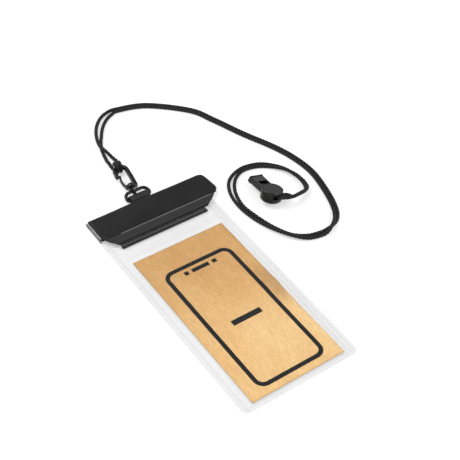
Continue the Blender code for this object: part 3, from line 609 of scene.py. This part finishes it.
def curve_through(points, steps):
    """A smooth curve through points of any dimension."""
    padded = [points[0]] + list(points) + [points[-1]]
    made = []
    for a, b, c, d in zip(padded, padded[1:], padded[2:], padded[3:]):
        for k in range(steps):
            t = k / steps
            made.append(tuple(
                0.5 * (2 * q + (r - p) * t + (2 * p - 5 * q + 4 * r - s) * t * t
                       + (3 * q - p - 3 * r + s) * t ** 3)
                for p, q, r, s in zip(a, b, c, d)))
    made.append(tuple(points[-1]))
    return made


def place_object(name, mesh, looks, body, node=None):
    """Make a mesh a piece of the scene that rides on a body and may stand for a node."""
    obj = bpy.data.objects.new(name, mesh)
    bpy.context.scene.collection.objects.link(obj)
    mesh.materials.append(looks)
    mesh.shade_smooth()
    if body:
        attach(obj, body)
    if node:
        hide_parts(node)
    return obj


def grid_mesh(name, rows, columns, place):
    """A sheet of quads with a point for each row and column."""
    verts = [place(row, column) for row in rows for column in columns]
    wide = len(columns)
    faces = []
    for i in range(len(rows) - 1):
        for j in range(wide - 1):
            a = i * wide + j
            faces.append((a, a + 1, a + wide + 1, a + wide))
    mesh = bpy.data.meshes.new(name)
    mesh.from_pydata(verts, [], faces)
    return mesh


def tube_faces(rings, sides):
    """Faces between rings of points, then both ends."""
    faces = []
    for i in range(rings - 1):
        for j in range(sides):
            k = (j + 1) % sides
            faces.append((i * sides + j, i * sides + k, (i + 1) * sides + k, (i + 1) * sides + j))
    last = (rings - 1) * sides
    return faces + [tuple(reversed(range(sides))), tuple(range(last, last + sides))]


def clean_mesh(mesh, weld=0.0):
    """Join points that meet and turn every face outward."""
    bm = bmesh.new()
    bm.from_mesh(mesh)
    if weld:
        bmesh.ops.remove_doubles(bm, verts=bm.verts, dist=weld)
    bmesh.ops.recalc_face_normals(bm, faces=bm.faces)
    bm.to_mesh(mesh)
    bm.free()


def thicken(obj, thick, bevel=0.0):
    """Give a sheet its thickness and, where asked, rounded edges."""
    wall = obj.modifiers.new("wall", "SOLIDIFY")
    wall.thickness = thick
    wall.offset = 0.0
    wall.use_even_offset = True
    if bevel:
        edge = obj.modifiers.new("edge", "BEVEL")
        edge.width = bevel
        edge.segments = 2
        edge.angle_limit = math.radians(50)


def neck_lift(x, y):
    """How far the strap under the fold lifts the sheets above it."""
    left = smooth((x + 0.040) / 0.027)
    right = smooth((0.044 - x) / 0.027)
    return TAB_LIFT * min(left, right) * smooth((y - 0.118) / 0.011)


def fold_rows(radius, level_below, ramp_rows, steps):
    """(y, z) of one layer round the fold, from its ramp to its mouth."""
    rows = list(ramp_rows)
    rows += [(y, level_below) for y in spaced(0.1215, FOLD_Y, FOLD_ROW)]
    for k in range(1, steps):
        angle = math.pi * (k / steps - 0.5)
        rows.append((FOLD_Y + radius * math.cos(angle), FOLD_Z + radius * math.sin(angle)))
    rows += [(y, FOLD_Z + radius) for y in spaced(FILM_MOUTH, FOLD_Y, FOLD_ROW)[::-1]]
    return rows


# The films

# y and rise of the front film over its weld's level, in the middle of the pouch
FRONT_RISE = [(-0.0905, 0), (-0.0880, 0), (-0.0864, 0.00075), (-0.0849, 0.0012), (-0.081, 0.0016),
              (-0.060, 0.0019), (-0.030, 0.0022), (0.0, 0.0019), (0.030, 0.0022), (0.060, 0.0019),
              (0.080, 0.0016), (0.0849, 0.0015), (0.0875, 0.0023), (0.091, 0.0014),
              (0.097, 0.0012), (0.1014, 0.00195), (0.1080, 0.00195), (0.1086, 0)]

# y of the fine rows at the lower weld and over the rails
WELD_ROWS = [-0.0905, -0.0904, -0.0902, -0.0899, -0.0895, -0.0890, -0.0884, -0.0880, -0.0876,
             -0.0872, -0.0868, -0.0864, -0.0858]
RAIL_ROWS = [0.1020, 0.1028, 0.1040, 0.1055, 0.1070, 0.1078, 0.1081, 0.1084, 0.1087, 0.1095]


def film_half_width(y):
    """Half the film's width at y, less in its rounded lower corners."""
    inside = FILM_BOTTOM + FILM_CORNER - y
    if inside <= 0:
        return FILM_HALF_WIDTH
    return FILM_HALF_WIDTH - FILM_CORNER + math.sqrt(max(0.0, FILM_CORNER ** 2 - inside ** 2))


def weld_bead(distance):
    """A low ridge where the weld ends, at a distance from its line."""
    return 0.00016 * math.exp(-(distance / 0.0006) ** 2)


def front_height(x, y):
    """The front film over the card: its dome, waves, puckered corners and weld beads."""
    crown = smooth((WELD_HALF_WIDTH - abs(x)) / WELD_RISE)
    rise = along_table(FRONT_RISE, y) * crown
    open_part = crown * smooth((y + 0.0875) / 0.008) * smooth((0.1045 - y) / 0.006)
    waves = 0.00030 * ripple(x, y, 60, 18, 1.0) + 0.00012 * ripple(x, y, 150, 60, 5.0)
    corner = smooth((0.030 - math.hypot(abs(x) - 0.050, y + 0.084)) / 0.030)
    pucker = 0.00022 * corner * math.sin(9.0 * math.atan2(y + 0.090, 0.056 - abs(x)))
    bead = 0.0
    if y < 0.115:
        bead = weld_bead(abs(x) - WELD_LINE)
        bead += weld_bead(y - WELD_LOW) * smooth((0.054 - abs(x)) / 0.001)
    return FRONT_LEVEL + rise + open_part * (waves + pucker) + min(bead, 0.00018)


def film_point(height):
    """Places a film's points: by height(x, y) where flat, by the row's z round the fold."""
    def point(row, column):
        y, z = row
        x = column * film_half_width(y) / FILM_HALF_WIDTH
        if z is None:
            return x, y, height(x, y)
        lift = neck_lift(x, y)
        return x, y - FOLD_PULL * lift, z + lift
    return point


def make_film(name, node, looks, rows, columns, height):
    mesh = grid_mesh(name, rows, columns, film_point(height))
    film = place_object(name, mesh, looks, "pouch", node)
    thicken(film, FILM_THICK)


def make_films():
    """Both films, from the lower weld to the mouth, with finer rows where they bend."""
    edge = [0.0571, 0.0562, 0.0548, 0.0540, 0.0537, 0.0534, 0.0531, 0.0528, 0.0522]
    columns = [-x for x in edge] + spaced(-0.0516, 0.0516, 0.0013) + edge[::-1]
    flat = WELD_ROWS + spaced(-0.085, 0.1014, FILM_ROW) + RAIL_ROWS
    rows = [(y, None) for y in flat + spaced(0.1105, 0.1165, FILM_ROW)]
    low = FOLD_Z - FRONT_FOLD_RADIUS
    ramp_rows = [(0.1184, 0.0015), (0.1195, 0.0020), (0.1202, low)]
    rows += fold_rows(FRONT_FOLD_RADIUS, low, ramp_rows, 6)
    make_film("film_front", "front_film", FILM_FRONT, rows, columns, front_height)

    rows = [(y, None) for y in WELD_ROWS + spaced(-0.085, 0.1165, 2 * FILM_ROW)]
    low = FOLD_Z - BACK_FOLD_RADIUS
    rows += fold_rows(BACK_FOLD_RADIUS, low, [(0.1184, 0.0007), (0.1202, low)], 8)
    make_film("film_back", "back_film", FILM_BACK, rows, columns[::2], lambda x, y: BACK_LEVEL)


# The card and its print

# Left, lower, right and upper edge of each solid mark
PRINT_MARKS = {"print_left_square": (-0.0161, 0.04925, -0.0120, 0.05325),
               "print_right_square": (0.0122, 0.04925, 0.0166, 0.05325),
               "print_top_bar": (-0.0085, 0.04925, 0.0087, 0.05325),
               "print_label_bar": (-0.0133, -0.01615, 0.0158, -0.01075)}


def card_level(x, y):
    """The card lies nearly flat, with a slight buckle at its right edge."""
    edge = smooth((x - 0.024) / 0.022)
    buckle = BUCKLE_RISE * edge * math.exp(-((y - BUCKLE_Y) / 0.0075) ** 2)
    dent = 0.0003 * edge * (1 + math.sin(y * 62.0)) / 2
    return buckle + dent + 0.00008 * (1 + ripple(x, y, 40, 22, 9.0))


def make_card():
    columns = spaced(-CARD_HALF_WIDTH, CARD_HALF_WIDTH, 0.0020)
    rows = spaced(-CARD_HALF_LENGTH, CARD_HALF_LENGTH, 0.0024)
    middle = CARD_BOTTOM + CARD_THICK / 2
    mesh = grid_mesh("card", rows, columns, lambda y, x: (x, y, middle + card_level(x, y)))
    card = place_object("card", mesh, KRAFT, "pouch", "insert_card")
    thicken(card, CARD_THICK)
    print_piece("print_phone_outline", phone_ring())
    for name, box in PRINT_MARKS.items():
        print_piece(name, block_quads(*box))


def print_piece(name, quads):
    """A thin layer of ink on the card, from quads of (x, y) points."""
    bm = bmesh.new()
    level = CARD_BOTTOM + CARD_THICK + INK_LIFT
    found = {}
    for quad in quads:
        corners = []
        for x, y in quad:
            key = (round(x, 6), round(y, 6))
            if key not in found:
                found[key] = bm.verts.new((x, y, level + card_level(x, y)))
            corners.append(found[key])
        bm.faces.new(corners)
    mesh = bpy.data.meshes.new(name)
    bm.to_mesh(mesh)
    bm.free()
    thicken(place_object(name, mesh, INK, "pouch"), INK_THICK)


def block_quads(x0, y0, x1, y1):
    xs, ys = spaced(x0, x1, 0.0014), spaced(y0, y1, 0.0014)
    return [((a, c), (b, c), (b, d), (a, d))
            for a, b in zip(xs, xs[1:]) for c, d in zip(ys, ys[1:])]


def ring_outline(left, lower, right, upper, radius):
    """A rounded rectangle whose straight sides are divided too."""
    corners = [(right - radius, lower + radius, -90), (right - radius, upper - radius, 0),
               (left + radius, upper - radius, 90), (left + radius, lower + radius, 180)]
    arcs = [ellipse_arc((x, y), radius, radius, start, start + 90, 12) for x, y, start in corners]
    points = []
    for number, arc in enumerate(arcs):
        (x0, y0), (x1, y1) = arc[-1], arcs[(number + 1) % 4][0]
        steps = 36 if number % 2 == 0 else 16
        points += arc
        points += [(x0 + (x1 - x0) * k / steps, y0 + (y1 - y0) * k / steps)
                   for k in range(1, steps)]
    return points


def phone_ring():
    """The outline's stroke as three rings of quads."""
    left, lower, right, upper = PHONE_BOX
    outer = ring_outline(left, lower, right, upper, PHONE_CORNER)
    inner = ring_outline(left + PHONE_STROKE, lower + PHONE_STROKE, right - PHONE_STROKE,
                         upper - PHONE_STROKE, PHONE_CORNER - PHONE_STROKE)
    layers = [[(a[0] + (b[0] - a[0]) * t, a[1] + (b[1] - a[1]) * t) for a, b in zip(outer, inner)]
              for t in (0.0, 1 / 3, 2 / 3, 1.0)]
    quads = []
    for near, far in zip(layers, layers[1:]):
        quads += zip(near, near[1:] + near[:1], far[1:] + far[:1], far)
    return quads


# The closure: flap, strap, tapes and rails

# y, left end and right end of the flap
FLAP_EDGES = [(0.1080, -0.0463, 0.0485), (0.1094, -0.0474, 0.0507), (0.1110, -0.0488, 0.0533),
              (0.1125, -0.0502, 0.0556), (0.1145, -0.0516, 0.0582), (0.1160, -0.0525, 0.0600),
              (0.1180, -0.0535, 0.0632), (0.1193, -0.0540, 0.0650), (0.1206, -0.0542, 0.0660),
              (0.1231, -0.0545, 0.0667), (0.1313, -0.0543, 0.0661), (0.1370, -0.0539, 0.0655),
              (0.1400, -0.0539, 0.0650), (0.1420, -0.0542, 0.0640), (0.1430, -0.0544, 0.0626),
              (0.1437, -0.0545, 0.0612)]


def flap_edge(y, column):
    """The flap's left end (column 1) or right end (column 2) at y."""
    for low, high in zip(FLAP_EDGES, FLAP_EDGES[1:]):
        if y <= high[0]:
            part = (y - low[0]) / (high[0] - low[0])
            return low[column] + (high[column] - low[column]) * part
    return FLAP_EDGES[-1][column]


def make_flap():
    """The closure flap, from the mouth round the fold to its lower edge."""
    level = FOLD_Z - FLAP_FOLD_RADIUS
    upper = FOLD_Z + FLAP_FOLD_RADIUS
    rows = fold_rows(FLAP_FOLD_RADIUS, level, [(FILM_MOUTH, level)], 14)
    rows += [(y, upper) for y in (0.1196, 0.1189, 0.1182, 0.1177, 0.1173)]
    rows += [(0.1169, upper - 0.00005), (0.1165, upper - 0.0002), (0.1160, upper - 0.00055),
             (0.1154, 0.0039), (0.1148, 0.0036)]
    panel = spaced(0.1088, 0.1140, 0.0008)[::-1] + [0.1083, 0.1077, 0.1068]
    rows += [(y, FLAP_LOWER) for y in panel]

    def point(row, column):
        """The upper layer waves a little and drapes down at its ends."""
        y, z = row
        left, right = flap_edge(y, 1), flap_edge(y, 2)
        x = left + (right - left) * column
        lift = neck_lift(x, y)
        on_top = smooth((z - 0.003) / 0.001)
        wave = FLAP_WAVE * ripple(x, y, 45, 70, 3.0) + FLAP_GRAIN * ripple(x, y, 160, 160, 7.0)
        wave = on_top * wave * smooth(min(column, 1 - column) / 0.03)
        skirt = smooth((0.1245 - y) / 0.004) * smooth((y - 0.1135) / 0.002)
        inward = 0.0012 + 0.0022 * smooth((0.1225 - y) / 0.005)
        drape = on_top * (0.25 + 0.75 * skirt) * (1 - smooth((x - left) / inward))
        end = on_top * (1 - smooth((right - x) / 0.0016)) * smooth((y - 0.1165) / 0.002)
        z -= drape * max(0.0, z - FLAP_LOWER + 0.0001) + 0.0005 * end
        return x, y - FOLD_PULL * lift, z + lift + wave + 0.0001 * on_top

    fine = [0.0, 0.003, 0.006, 0.009, 0.013, 0.017, 0.022, 0.027, 0.033]
    columns = fine + spaced(0.04, 0.96, 0.0115) + [1 - c for c in fine[::-1]]
    mesh = grid_mesh("flap", rows, columns, point)
    flap = place_object("flap", mesh, FLAP, "pouch", "closure_flap")
    thicken(flap, FLAP_THICK, SHEET_EDGE)


def make_rail():
    """The upper seal profile with its flange, rounded lip and the line between them."""
    profile = [(0.1030, 0.0013), (0.1030, 0.0021), (0.1031, 0.0023), (0.1033, 0.00243),
               (0.1036, 0.0025), (0.1044, 0.0025), (0.1046, 0.00243), (0.10475, 0.0023),
               (0.1048, 0.00205), (0.1050, 0.00205), (0.1051, 0.0022), (0.1053, 0.0023),
               (0.1073, 0.0023), (0.1076, 0.0022), (0.1076, 0.0013)]
    inner = spaced(0.002 - RAIL_HALF, RAIL_HALF - 0.002, 0.004)
    places = [-RAIL_HALF, RAIL_CHAMFER - RAIL_HALF] + inner
    places += [RAIL_HALF - RAIL_CHAMFER, RAIL_HALF]
    verts = []
    for x in places:
        share = RAIL_END_SHARE if abs(x) == RAIL_HALF else 1.0
        verts += [(x, y, RAIL_MIDDLE + (z - RAIL_MIDDLE) * share) for y, z in profile]
    mesh = bpy.data.meshes.new("seal_rail")
    mesh.from_pydata(verts, [], tube_faces(len(places), len(profile)))
    clean_mesh(mesh)
    place_object("seal_rail", mesh, RAIL, "pouch", "seal_rib_rail")
    mesh.shade_flat()


def make_tab():
    """The strap: its tail under the flap, a loop round the ring's bar, and back."""
    _, bar_y, bar_z = RING_BAR
    low = bar_z - RING_WIRE - GAP - FLAP_THICK / 2
    high = low + FLAP_THICK + GAP
    rows = [(y, low) for y in spaced(TAB_TAIL_Y, bar_y - 0.0010, FOLD_ROW)]
    loop = [(0.1485, 0.00030), (0.1500, 0.0006), (0.1511, 0.0014), (0.1517, 0.0026),
            (0.1519, 0.0040), (0.1515, 0.0049), (0.1506, 0.0054), (0.1494, 0.0053),
            (0.1481, 0.0050), (0.1470, 0.0043), (0.1462, 0.0034), (0.1456, 0.00255)]
    rows += curve_through(loop, 4)
    rows += [(0.1450, 0.00205), (0.1445, 0.0016), (0.1440, 0.00133), (0.1434, 0.00112),
             (0.1428, 0.00106), (0.1424, high)]
    rows += [(y, high) for y in spaced(TAB_TAIL_Y, 0.1415, FOLD_ROW)[::-1]]
    columns = spaced(TAB_LEFT, TAB_RIGHT, 0.0012)
    mesh = grid_mesh("strap", rows, columns, lambda row, x: (x, row[0], row[1]))
    strap = place_object("strap", mesh, TAB, "pouch", "ring_tab")
    thicken(strap, FLAP_THICK, SHEET_EDGE)


# The hook and its gate

def hook_frame():
    """The frame of the hook: +Y runs along it, away from the pouch."""
    turn = Matrix.Rotation(HOOK_TURN, 4, "Z")
    lift = Matrix.Rotation(HOOK_LIFT, 4, "X")
    return Matrix.Translation(HOOK_PLACE) @ turn @ lift


def plate_mesh(name, outlines, thick, edge, matrix):
    """A flat outline with a thickness and rounded edges."""
    curve = bpy.data.curves.new(name, "CURVE")
    curve.dimensions = "2D"
    curve.fill_mode = "BOTH"
    curve.extrude = thick / 2 - edge
    curve.bevel_depth = edge
    curve.bevel_resolution = 3
    curve.offset = -edge
    for outline in outlines:
        spline = curve.splines.new("POLY")
        spline.points.add(len(outline) - 1)
        for point, (x, y) in zip(spline.points, outline):
            point.co = (x, y, 0, 1)
        spline.use_cyclic_u = True
    shell = bpy.data.objects.new(name, curve)
    bpy.context.scene.collection.objects.link(shell)
    mesh = bpy.data.meshes.new_from_object(shell)
    bpy.data.objects.remove(shell)
    bpy.data.curves.remove(curve)
    mesh.transform(matrix)
    clean_mesh(mesh, 0.000005)
    return mesh


def make_hook():
    """The cast hook: a C-shaped bar with rounded edges on a turned barrel."""
    points = [(-0.0044, 0.0059), (0.0056, 0.0059), (0.0063, 0.0066), (0.0067, 0.0100),
              (0.0071, 0.0180), (0.0072, 0.0262)]
    points += ellipse_arc((-0.0004, 0.0284), 0.0076, 0.0074, 0, 180, 40)
    points += [(-0.0082, 0.0250), (-0.0081, 0.0212), (-0.0053, 0.0216), (-0.0045, 0.0262)]
    points += ellipse_arc((-0.0003, 0.0292), 0.0041, 0.0043, 180, 0, 30)
    points += [(0.0036, 0.0240), (0.0031, 0.0130), (0.0027, 0.0106), (0.0016, 0.0095),
               (-0.0046, 0.0092), (-0.0052, 0.0086), (-0.0052, 0.0068)]
    mesh = plate_mesh("hook", [points], HOOK_THICK, HOOK_EDGE, hook_frame())
    barrel = [(0.0, 0.0056), (0.0033, 0.0056), (0.0038, 0.0060), (0.0040, 0.0066),
              (0.0040, 0.0086), (0.0037, 0.0092), (0.0032, 0.0095), (0.0, 0.0096)]
    bm = bmesh.new()
    bm.from_mesh(mesh)
    rings = []
    for radius, along in barrel:
        ring = []
        for k in range(BARREL_SIDES):
            angle = 2 * math.pi * k / BARREL_SIDES
            place = Vector((radius * math.cos(angle), along, radius * math.sin(angle)))
            ring.append(bm.verts.new(hook_frame() @ place))
        rings.append(ring)
    for low, high in zip(rings, rings[1:]):
        for quad in zip(low, low[1:] + low[:1], high[1:] + high[:1], high):
            bm.faces.new(quad)
    bm.to_mesh(mesh)
    bm.free()
    clean_mesh(mesh, 0.000002)
    place_object("hook_bar", mesh, HOOK, "hook", "snap_hook")


def make_gate():
    """The sprung gate: a bowed strip with a rounded back, turning on its knuckle."""
    centre = [(0, 0), (-0.0015, 0.0034), (-0.0019, 0.0074), (-0.0015, 0.0109),
              (-0.0007, 0.0134), (-0.0005, 0.0150)]
    in_knuckle, taper_start = 6, 24
    path = [Vector(point) for point in curve_through(centre, 8)][in_knuckle:]
    left, right = [], []
    for number, (before, here, after) in enumerate(zip(path, path[1:], path[2:] + path[-1:])):
        side = (after - before).orthogonal().normalized()
        wide = GATE_HALF * (1.0 - 0.06 * smooth((number - taper_start) / 10))
        left.append(tuple(here + side * wide))
        right.append(tuple(here - side * wide))
    heading = math.degrees(math.atan2(centre[1][1], centre[1][0]))
    spread = math.degrees(math.asin(GATE_HALF / KNUCKLE_RADIUS))
    outline = ellipse_arc((0, 0), KNUCKLE_RADIUS, KNUCKLE_RADIUS,
                          heading + spread, heading - spread + 360, 26)
    outline += right + left[::-1]
    place = hook_frame() @ Matrix.Translation((*GATE_PIVOT, 0))
    mesh = plate_mesh("gate", [outline], GATE_HEIGHT, GATE_EDGE, place)
    place_object("gate_bar", mesh, GATE, "gate", "hook_gate")


# The cord

def whistle_frame():
    """The frame of the whistle: +Z up its drum, +Y to its mouthpiece."""
    up = Vector(WHISTLE_UP).normalized()
    side = Vector(WHISTLE_FORWARD).cross(up).normalized()
    forward = up.cross(side)
    turn = Matrix((side, forward, up)).transposed().to_4x4()
    return Matrix.Translation(WHISTLE_PLACE) @ turn


def hitch_points():
    """The knot round the hook's arch, a half and its mirror image."""
    half = [(-CORD_PAIR, 0.0420, HITCH_Z), (-0.0034, 0.0384, HITCH_Z), (-0.0022, 0.0343, HITCH_Z),
            (-0.00165, 0.0316, -0.0031), (-0.00165, 0.0308, 0), (-0.00165, 0.0318, 0.0029),
            (-0.00165, 0.0346, 0.00402), (-0.0019, 0.0368, 0.0037), (-0.0024, 0.0381, 0.0021),
            (-0.0022, 0.0385, 0.0006), (-0.0012, 0.0386, -0.0002)]
    route = half + [(0, 0.0386, -0.0004)] + [(-x, y, z) for x, y, z in reversed(half)]
    route = [(x + HITCH_X, y, z) for x, y, z in route]
    return [hook_frame() @ Vector(point) for point in curve_through(route, 6)]


def turn_points():
    """The half turn round the whistle's post, with both ends leading out."""
    out = Vector((math.cos(TURN_AZIMUTH), math.sin(TURN_AZIMUTH), 0))
    start = math.degrees(TURN_AZIMUTH) - 90
    arc = ellipse_arc(POST_PLACE, TURN_RADIUS, TURN_RADIUS, start, start - 180, 24)
    points = [Vector((x, y, TURN_LEVEL)) for x, y in arc]
    points = [points[0] + out * 0.005] + points + [points[-1] + out * 0.006]
    return [whistle_frame() @ point for point in points]


def strand_points(side):
    """One strand of the pair, side +1 or -1, from the hitch to the whistle."""
    place = hook_frame()
    start = place @ Vector((HITCH_X, CORD_START, HITCH_Z))
    next_place = place @ Vector((HITCH_X, CORD_START + CORD_LEAD, HITCH_Z))
    route = [(start.x, start.y, CORD_PAIR, 0.0, start.z)]
    route.append((next_place.x, next_place.y, CORD_PAIR, 0.0, (start.z + CORD_RADIUS) / 2))
    for number, (x, y, spread, turns) in enumerate(ROUTE):
        left = len(ROUTE) - number
        lift = ROUTE_END_LIFTS[-left] if left <= len(ROUTE_END_LIFTS) else 0.0
        rise = spread * abs(math.sin(math.pi * turns))
        route.append((x, y, spread, turns, CORD_RADIUS + rise + lift))
    dense = curve_through(route, STRAND_STEPS)
    points = []
    for before, here, after in zip(dense[:1] + dense, dense, dense[1:] + dense[-1:]):
        heading = Vector((after[0] - before[0], after[1] - before[1], 0)).normalized()
        right = Vector((heading.y, -heading.x, 0))
        x, y, spread, turns, level = here
        angle = math.pi * turns
        offset = right * math.cos(angle) + Vector((0, 0, math.sin(angle)))
        height = max(level, CORD_RADIUS + spread * abs(math.sin(angle)))
        points.append(Vector((x, y, height)) + side * spread * offset)
    turn = turn_points()
    goal, inner = (turn[0], turn[1]) if side > 0 else (turn[-1], turn[-2])
    out = (goal - inner).normalized()
    goal = goal + out * 2 * GAP
    first, tangent = points[-1], (points[-1] - points[-2]).normalized()
    reach = (goal - first).length
    for k in range(1, STRAND_STEPS + 1):
        t = k / STRAND_STEPS
        a = 2 * t ** 3 - 3 * t * t + 1
        b = t ** 3 - 2 * t * t + t
        c = -2 * t ** 3 + 3 * t * t
        d = t ** 3 - t * t
        points.append(first * a + tangent * reach * b + goal * c - out * reach * d)
    return points


def even_steps(points, step):
    """The same line in equal steps, and its length."""
    total = [0.0]
    for a, b in zip(points, points[1:]):
        total.append(total[-1] + (b - a).length)
    count = max(4, round(total[-1] / step))
    made, i = [], 0
    for k in range(count + 1):
        goal = total[-1] * k / count
        while i < len(total) - 2 and total[i + 1] < goal:
            i += 1
        part = (goal - total[i]) / max(1e-12, total[i + 1] - total[i])
        made.append(points[i].lerp(points[i + 1], part))
    return made, total[-1]


def braided(name, line, looks, body, node):
    """A plaited round cord along a line: crossing crowns stand out in the mesh."""
    points, length = even_steps(line, BRAID_STEP)
    frames = []
    normal = Vector((0, 0, 1))
    for i, here in enumerate(points):
        ahead = points[min(i + 1, len(points) - 1)] - points[max(i - 1, 0)]
        heading = ahead.normalized()
        normal = (normal - heading * normal.dot(heading)).normalized()
        frames.append((here, normal.copy(), heading.cross(normal)))
    verts, uvs = [], []
    sides = BRAID_SIDES
    for i, (here, up, across) in enumerate(frames):
        along = length * i / (len(frames) - 1) / BRAID_PITCH
        for j in range(sides + 1):
            around = BRAID_COUNT * j / sides / 2
            u, v = around + along, around - along
            uvs.append((u, v))
            if j == sides:
                continue
            crown = abs(math.cos(math.pi * u)) * abs(math.cos(math.pi * v))
            radius = CORD_RADIUS + BRAID_SWELL - BRAID_DEPTH * (1 - crown)
            angle = 2 * math.pi * j / sides
            verts.append(here + (up * math.cos(angle) + across * math.sin(angle)) * radius)
    corners = []
    for i in range(len(frames) - 1):
        for j in range(sides):
            low, high = i * (sides + 1) + j, (i + 1) * (sides + 1) + j
            corners += [low, low + 1, high + 1, high]
    corners += [0] * sides + [len(uvs) - 1] * sides
    mesh = bpy.data.meshes.new(name)
    mesh.from_pydata(verts, [], tube_faces(len(frames), sides))
    layer = mesh.uv_layers.new(name="braid")
    for loop, corner in zip(layer.data, corners):
        loop.uv = uvs[corner]
    return place_object(name, mesh, looks, body, node), length


def make_cords():
    """Both strands, the hitch and the turn."""
    pieces = []
    for number, side in ((1, 1), (2, -1)):
        line = strand_points(side)
        strand, length = braided(f"strand_{number}", line, BRAID, None, f"neck_cord_{number}")
        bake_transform(strand)
        pieces.append((strand, line, length))
    hitch, hitch_length = braided("hitch", hitch_points(), BRAID, "hook", "cord_hitch")
    turn, _ = braided("turn", turn_points(), BRAID, "pouch", "cord_turn")
    for number, (strand, line, length) in enumerate(pieces):
        path, _ = even_steps(line, PATH_STEP)
    line = hitch_points()
    path, _ = even_steps(line, HITCH_PATH_STEP)


def dress(node, looks):
    """Give a CAD piece that shows as it is its material."""
    data = NODES[node].data
    data.materials.clear()
    data.materials.append(looks)


make_camera()

FILM_BACK = clear_film("film_back", 0.045, 0.30, 0.0)
FILM_FRONT = clear_film("film_front", 0.024, 0.18, 0.06)
KRAFT = kraft()
INK = ink()
FLAP = coated_sheet("flap_sheet", (0.0095, 0.0095, 0.0098), 0.50, FLAP_CREASE)
RAIL = seal_rail()
HOOK = moulded("hook_lacquer", 0.004, 0.22, 0.5)
GATE = moulded("gate_lacquer", 0.006, 0.22, 0.6)
TAB = coated_sheet("tab_sheet", (0.022, 0.022, 0.0225), 0.48)
BRAID = braid("cord_braid", 0.0085)

make_studio()
make_cords()
make_films()
make_card()
make_flap()
make_rail()
make_tab()
make_hook()
make_gate()
dress("seal_groove_rail", moulded("seal_groove", 0.010, 0.38))
dress("loop_tape", hairy("loop_fabric", 0.035, (1300, 1500, 1300)))
dress("hook_tape", hairy("hook_fabric", 0.030, (1700, 1100, 1700)))
dress("d_ring", moulded("ring_lacquer", 0.004, 0.26, 0.4))
dress("swivel_eye", moulded("eye_lacquer", 0.005, 0.28, 0.4))
dress("gate_pin", steel())
dress("whistle_body", moulded("whistle_plastic", 0.008, 0.30, 0.35))
dress("whistle_cap", moulded("cap_plastic", 0.005, 0.32, 0.25))
dress("whistle_pea", cork())
